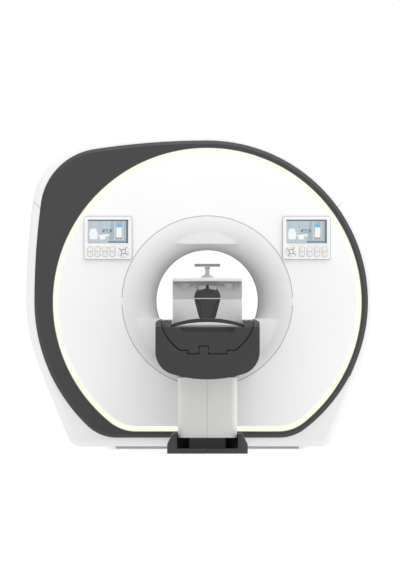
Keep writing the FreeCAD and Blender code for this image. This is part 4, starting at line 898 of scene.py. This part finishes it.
# heights above the floor and places across, in millimetres
LID_UNDER, LID_TOP = 1133.2, 1158
STRIP_HALF_WIDTH, STRIP_UNDER, STRIP_TOP = 92, 1016.6, 1020.8
LEFT_TAB = [(-60, 1073), (-10, 1084), (-10, 1110), (-60, 1100)]
RIGHT_TAB = [(10, 1084), (58, 1073), (60, 1100), (10, 1110)]


def upright(half, under, top):
    """Corners of a rectangle that is centred across."""
    return [(-half, under), (half, under), (half, top), (-half, top)]


wide = top_high.x / MM
# the lid takes the lighter grey: painted light
soft_plate(bm, upright(wide, LID_UNDER, LID_TOP), top_low.y, top_high.y - top_low.y, 3, 5)
tab_front = top_low.y + 22 * MM
for tab in (LEFT_TAB, RIGHT_TAB):
    soft_plate(bm, tab, tab_front, 34 * MM, 0, 2.5)
soft_plate(bm, upright(STRIP_HALF_WIDTH, STRIP_UNDER, STRIP_TOP), top_low.y + 1 * MM, 8 * MM, 3, 0.8)
make_piece(bm, "coil_top_shell", "coil_top",
           [coil_painted_shade_grey, liner_painted_light, window_painted_light, lid_painted_light], ["coil_top"])

# %% [markdown]
# ## Head coil, lower half
# The lower half is one deep tray that cups the back of the head. Its outer edges are rounded by the
# mould, and the hollow is lined with the same knitted cover as the upper half, in a pale grey that is
# painted light and paler than the pad that lies in it.
# %% Lower half
base_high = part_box("coil_base")[1]
bm = merged_copy("coil_base")
# faces of the hollow get the pale grey: painted light
for face in bm.faces:
    face.material_index = 1 if lines_the_head(face, base_high.z) else 0
round_corners(bm, 3, 2, 50)
make_piece(bm, "coil_base_shell", "cradle", [finishes["coil_white"], liner_painted_light],
           ["coil_base"])

# %% [markdown]
# ## Mirror and its stem
# Inside the bore the patient looks straight up, and a mirror over the eyes shows the room beyond
# their feet. It stands on a nylon stem whose foot spreads into a low bell, which is clipped to the
# lid. A bell is a turned shape, so its outline is spun about the stem. The post is a flat bar with
# rounded edges, and a pin through its top carries the mirror's tray.
# %% Stem with its bell foot
stem_low, stem_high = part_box("mirror_stem")
stem_middle = middle("mirror_stem")
BELL = [(0, 0), (43, 0), (42.5, 4), (36, 9.5), (27, 15), (19, 20), (14.5, 25), (13, 31), (0, 31)]
bm = bmesh.new()
outline = [bm.verts.new((reach * MM, stem_middle.y, stem_low.z + up * MM)) for reach, up in BELL]
edges = [bm.edges.new(pair) for pair in zip(outline, outline[1:])]
bmesh.ops.spin(bm, geom=outline + edges, cent=(0, stem_middle.y, 0), axis=(0, 0, 1),
               angle=math.radians(360), steps=48, use_merge=True, use_duplicate=False)
bmesh.ops.remove_doubles(bm, verts=bm.verts, dist=0.05 * MM)
bmesh.ops.recalc_face_normals(bm, faces=bm.faces)
PIN_RADIUS, PIN_LENGTH, POST_HALF, POST_FOOT = 4.6 * MM, 34 * MM, 13, 28
pivot = stem_high.z - 5 * MM
up_to = (pivot + 5 * MM) / MM
foot = stem_low.z / MM + POST_FOOT
soft_plate(bm, upright(POST_HALF, foot, up_to), stem_middle.y - 6 * MM, 12 * MM, 0, 3)
bmesh.ops.create_cone(bm, cap_ends=True, segments=24, radius1=PIN_RADIUS, radius2=PIN_RADIUS,
                      depth=PIN_LENGTH, matrix=Matrix.Translation((0, stem_middle.y, pivot))
                      @ Matrix.Rotation(math.radians(90), 4, "Y"))
make_piece(bm, "mirror_stem_bell", "coil_top", [finishes["stem_grey"]], ["mirror_stem"])

# %% Mirror tray
tray_grey = moulded("dark_nylon", ("#8A8A8A", "#848484"), 20, 1.5, 0.03, 0.5)
mirror_low, mirror_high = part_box("mirror")
SHEET, GLASS_INSET = 19, 6
half = mirror_high.x / MM
sheet_low = mirror_high.z / MM - SHEET
bm = bmesh.new()
soft_plate(bm, upright(half, sheet_low, sheet_low + SHEET), mirror_low.y,
           mirror_high.y - mirror_low.y, 0, 2)
for side in (1, -1):
    ear = sorted((side * 13.6, side * 17.0))
    soft_plate(bm, [(ear[0], sheet_low - 16), (ear[1], sheet_low - 16), (ear[1], sheet_low + 1),
                    (ear[0], sheet_low + 1)], middle("mirror").y - 8 * MM, 16 * MM, 0, 1)
soft_plate(bm, upright(half - GLASS_INSET, sheet_low - 0.6, sheet_low + 0.4),
           mirror_low.y + 6 * MM, mirror_high.y - mirror_low.y - 12 * MM, 1, 0.2)
make_piece(bm, "mirror_tray", "mirror", [tray_grey, finishes["mirror_glass"]],
           ["mirror"])

# %% [markdown]
# ## Padding
# The mattress is foam welded into wipe-clean vinyl, and the head pad is foam under a knitted cover.
# Both bulge between their edges because the foam pushes outwards against its cover. Blown-up cloth
# does the same, so the mattress starts as a slightly smaller block, and each is meshed evenly and
# swollen by a short cloth simulation. How far a point may go is capped, and whatever lies on the tray
# stays flat.
# %% Swelling a block of foam


def swollen(piece, voxel, cap, low, high):
    """Mesh a piece evenly, blow it up as cloth, and keep it within a box."""
    remesh = piece.modifiers.new("even_mesh", "REMESH")
    remesh.mode = "VOXEL"
    remesh.voxel_size = voxel * MM
    view = bpy.context.evaluated_depsgraph_get()
    even = bpy.data.meshes.new_from_object(piece.evaluated_get(view))
    piece.modifiers.clear()
    piece.data = even
    rest = [vert.co.copy() for vert in even.vertices]
    held = piece.vertex_groups.new(name="held")
    floor_level = min(spot.z for spot in rest) + 0.6 * voxel * MM
    held.add([i for i, spot in enumerate(rest) if spot.z < floor_level], 1.0, "REPLACE")
    cloth = piece.modifiers.new("foam", "CLOTH")
    cloth.settings.vertex_group_mass = "held"
    cloth.settings.use_pressure = True
    cloth.settings.uniform_pressure_force = 4
    cloth.settings.effector_weights.gravity = 0
    for number in range(1, 21):
        scene.frame_set(number)
    view = bpy.context.evaluated_depsgraph_get()
    moved = [vert.co.copy() for vert in piece.evaluated_get(view).data.vertices]
    piece.modifiers.clear()
    piece.vertex_groups.clear()
    scene.frame_set(1)
    for vert, start, spot in zip(piece.data.vertices, rest, moved):
        step = spot - start
        if step.length > cap * MM:
            step.length = cap * MM
        vert.co = [min(max(v, a), b) for v, a, b in zip(start + step, low, high)]


def upholster(piece, skin):
    """Give swollen foam its cover again, smooth and once subdivided."""
    piece.data.materials.clear()
    piece.data.materials.append(skin)
    piece.data.shade_smooth()
    finer = piece.modifiers.new("finer", "SUBSURF")
    finer.levels = finer.render_levels = 1


print("foam is", "blown up")

# %% Mattress
pad_low, pad_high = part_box("mattress")
SWELL = 6 * MM
bm = merged_copy("mattress")
for vert in bm.verts:
    for way in (0, 1):
        vert.co[way] += SWELL if vert.co[way] < middle("mattress")[way] else -SWELL
    if vert.co.z > middle("mattress").z:
        vert.co.z -= SWELL
round_corners(bm, 10, 3)
mattress = make_piece(bm, "mattress_pad", "cradle", [finishes["mattress_vinyl"]],
                      ["mattress"])
swollen(mattress, 12, 9, pad_low - Vector((1.5, 3, 0)) * MM, pad_high + Vector((1.5, 3, 5)) * MM)
SEAMS, SEAM_HALF, SEAM_DEPTH = 4, 16 * MM, 7 * MM
length = pad_high.y - pad_low.y
for vert in mattress.data.vertices:
    if vert.co.z < middle("mattress").z:
        continue
    for seam in range(1, SEAMS):
        away = abs(vert.co.y - pad_low.y - length * seam / SEAMS)
        if away < SEAM_HALF:
            vert.co.z -= SEAM_DEPTH * (1 - away / SEAM_HALF) ** 2
upholster(mattress, finishes["mattress_vinyl"])
print("mattress faces", len(mattress.data.polygons))

# %% Head pad
foam_low, foam_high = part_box("coil_pad")
bm = merged_copy("coil_pad")
head_pad = make_piece(bm, "head_pad", "cradle", [finishes["foam_dark"]], ["coil_pad"])
swollen(head_pad, 5, 2.5, foam_low, foam_high)
upholster(head_pad, finishes["foam_dark"])
print("head pad faces", len(head_pad.data.polygons))
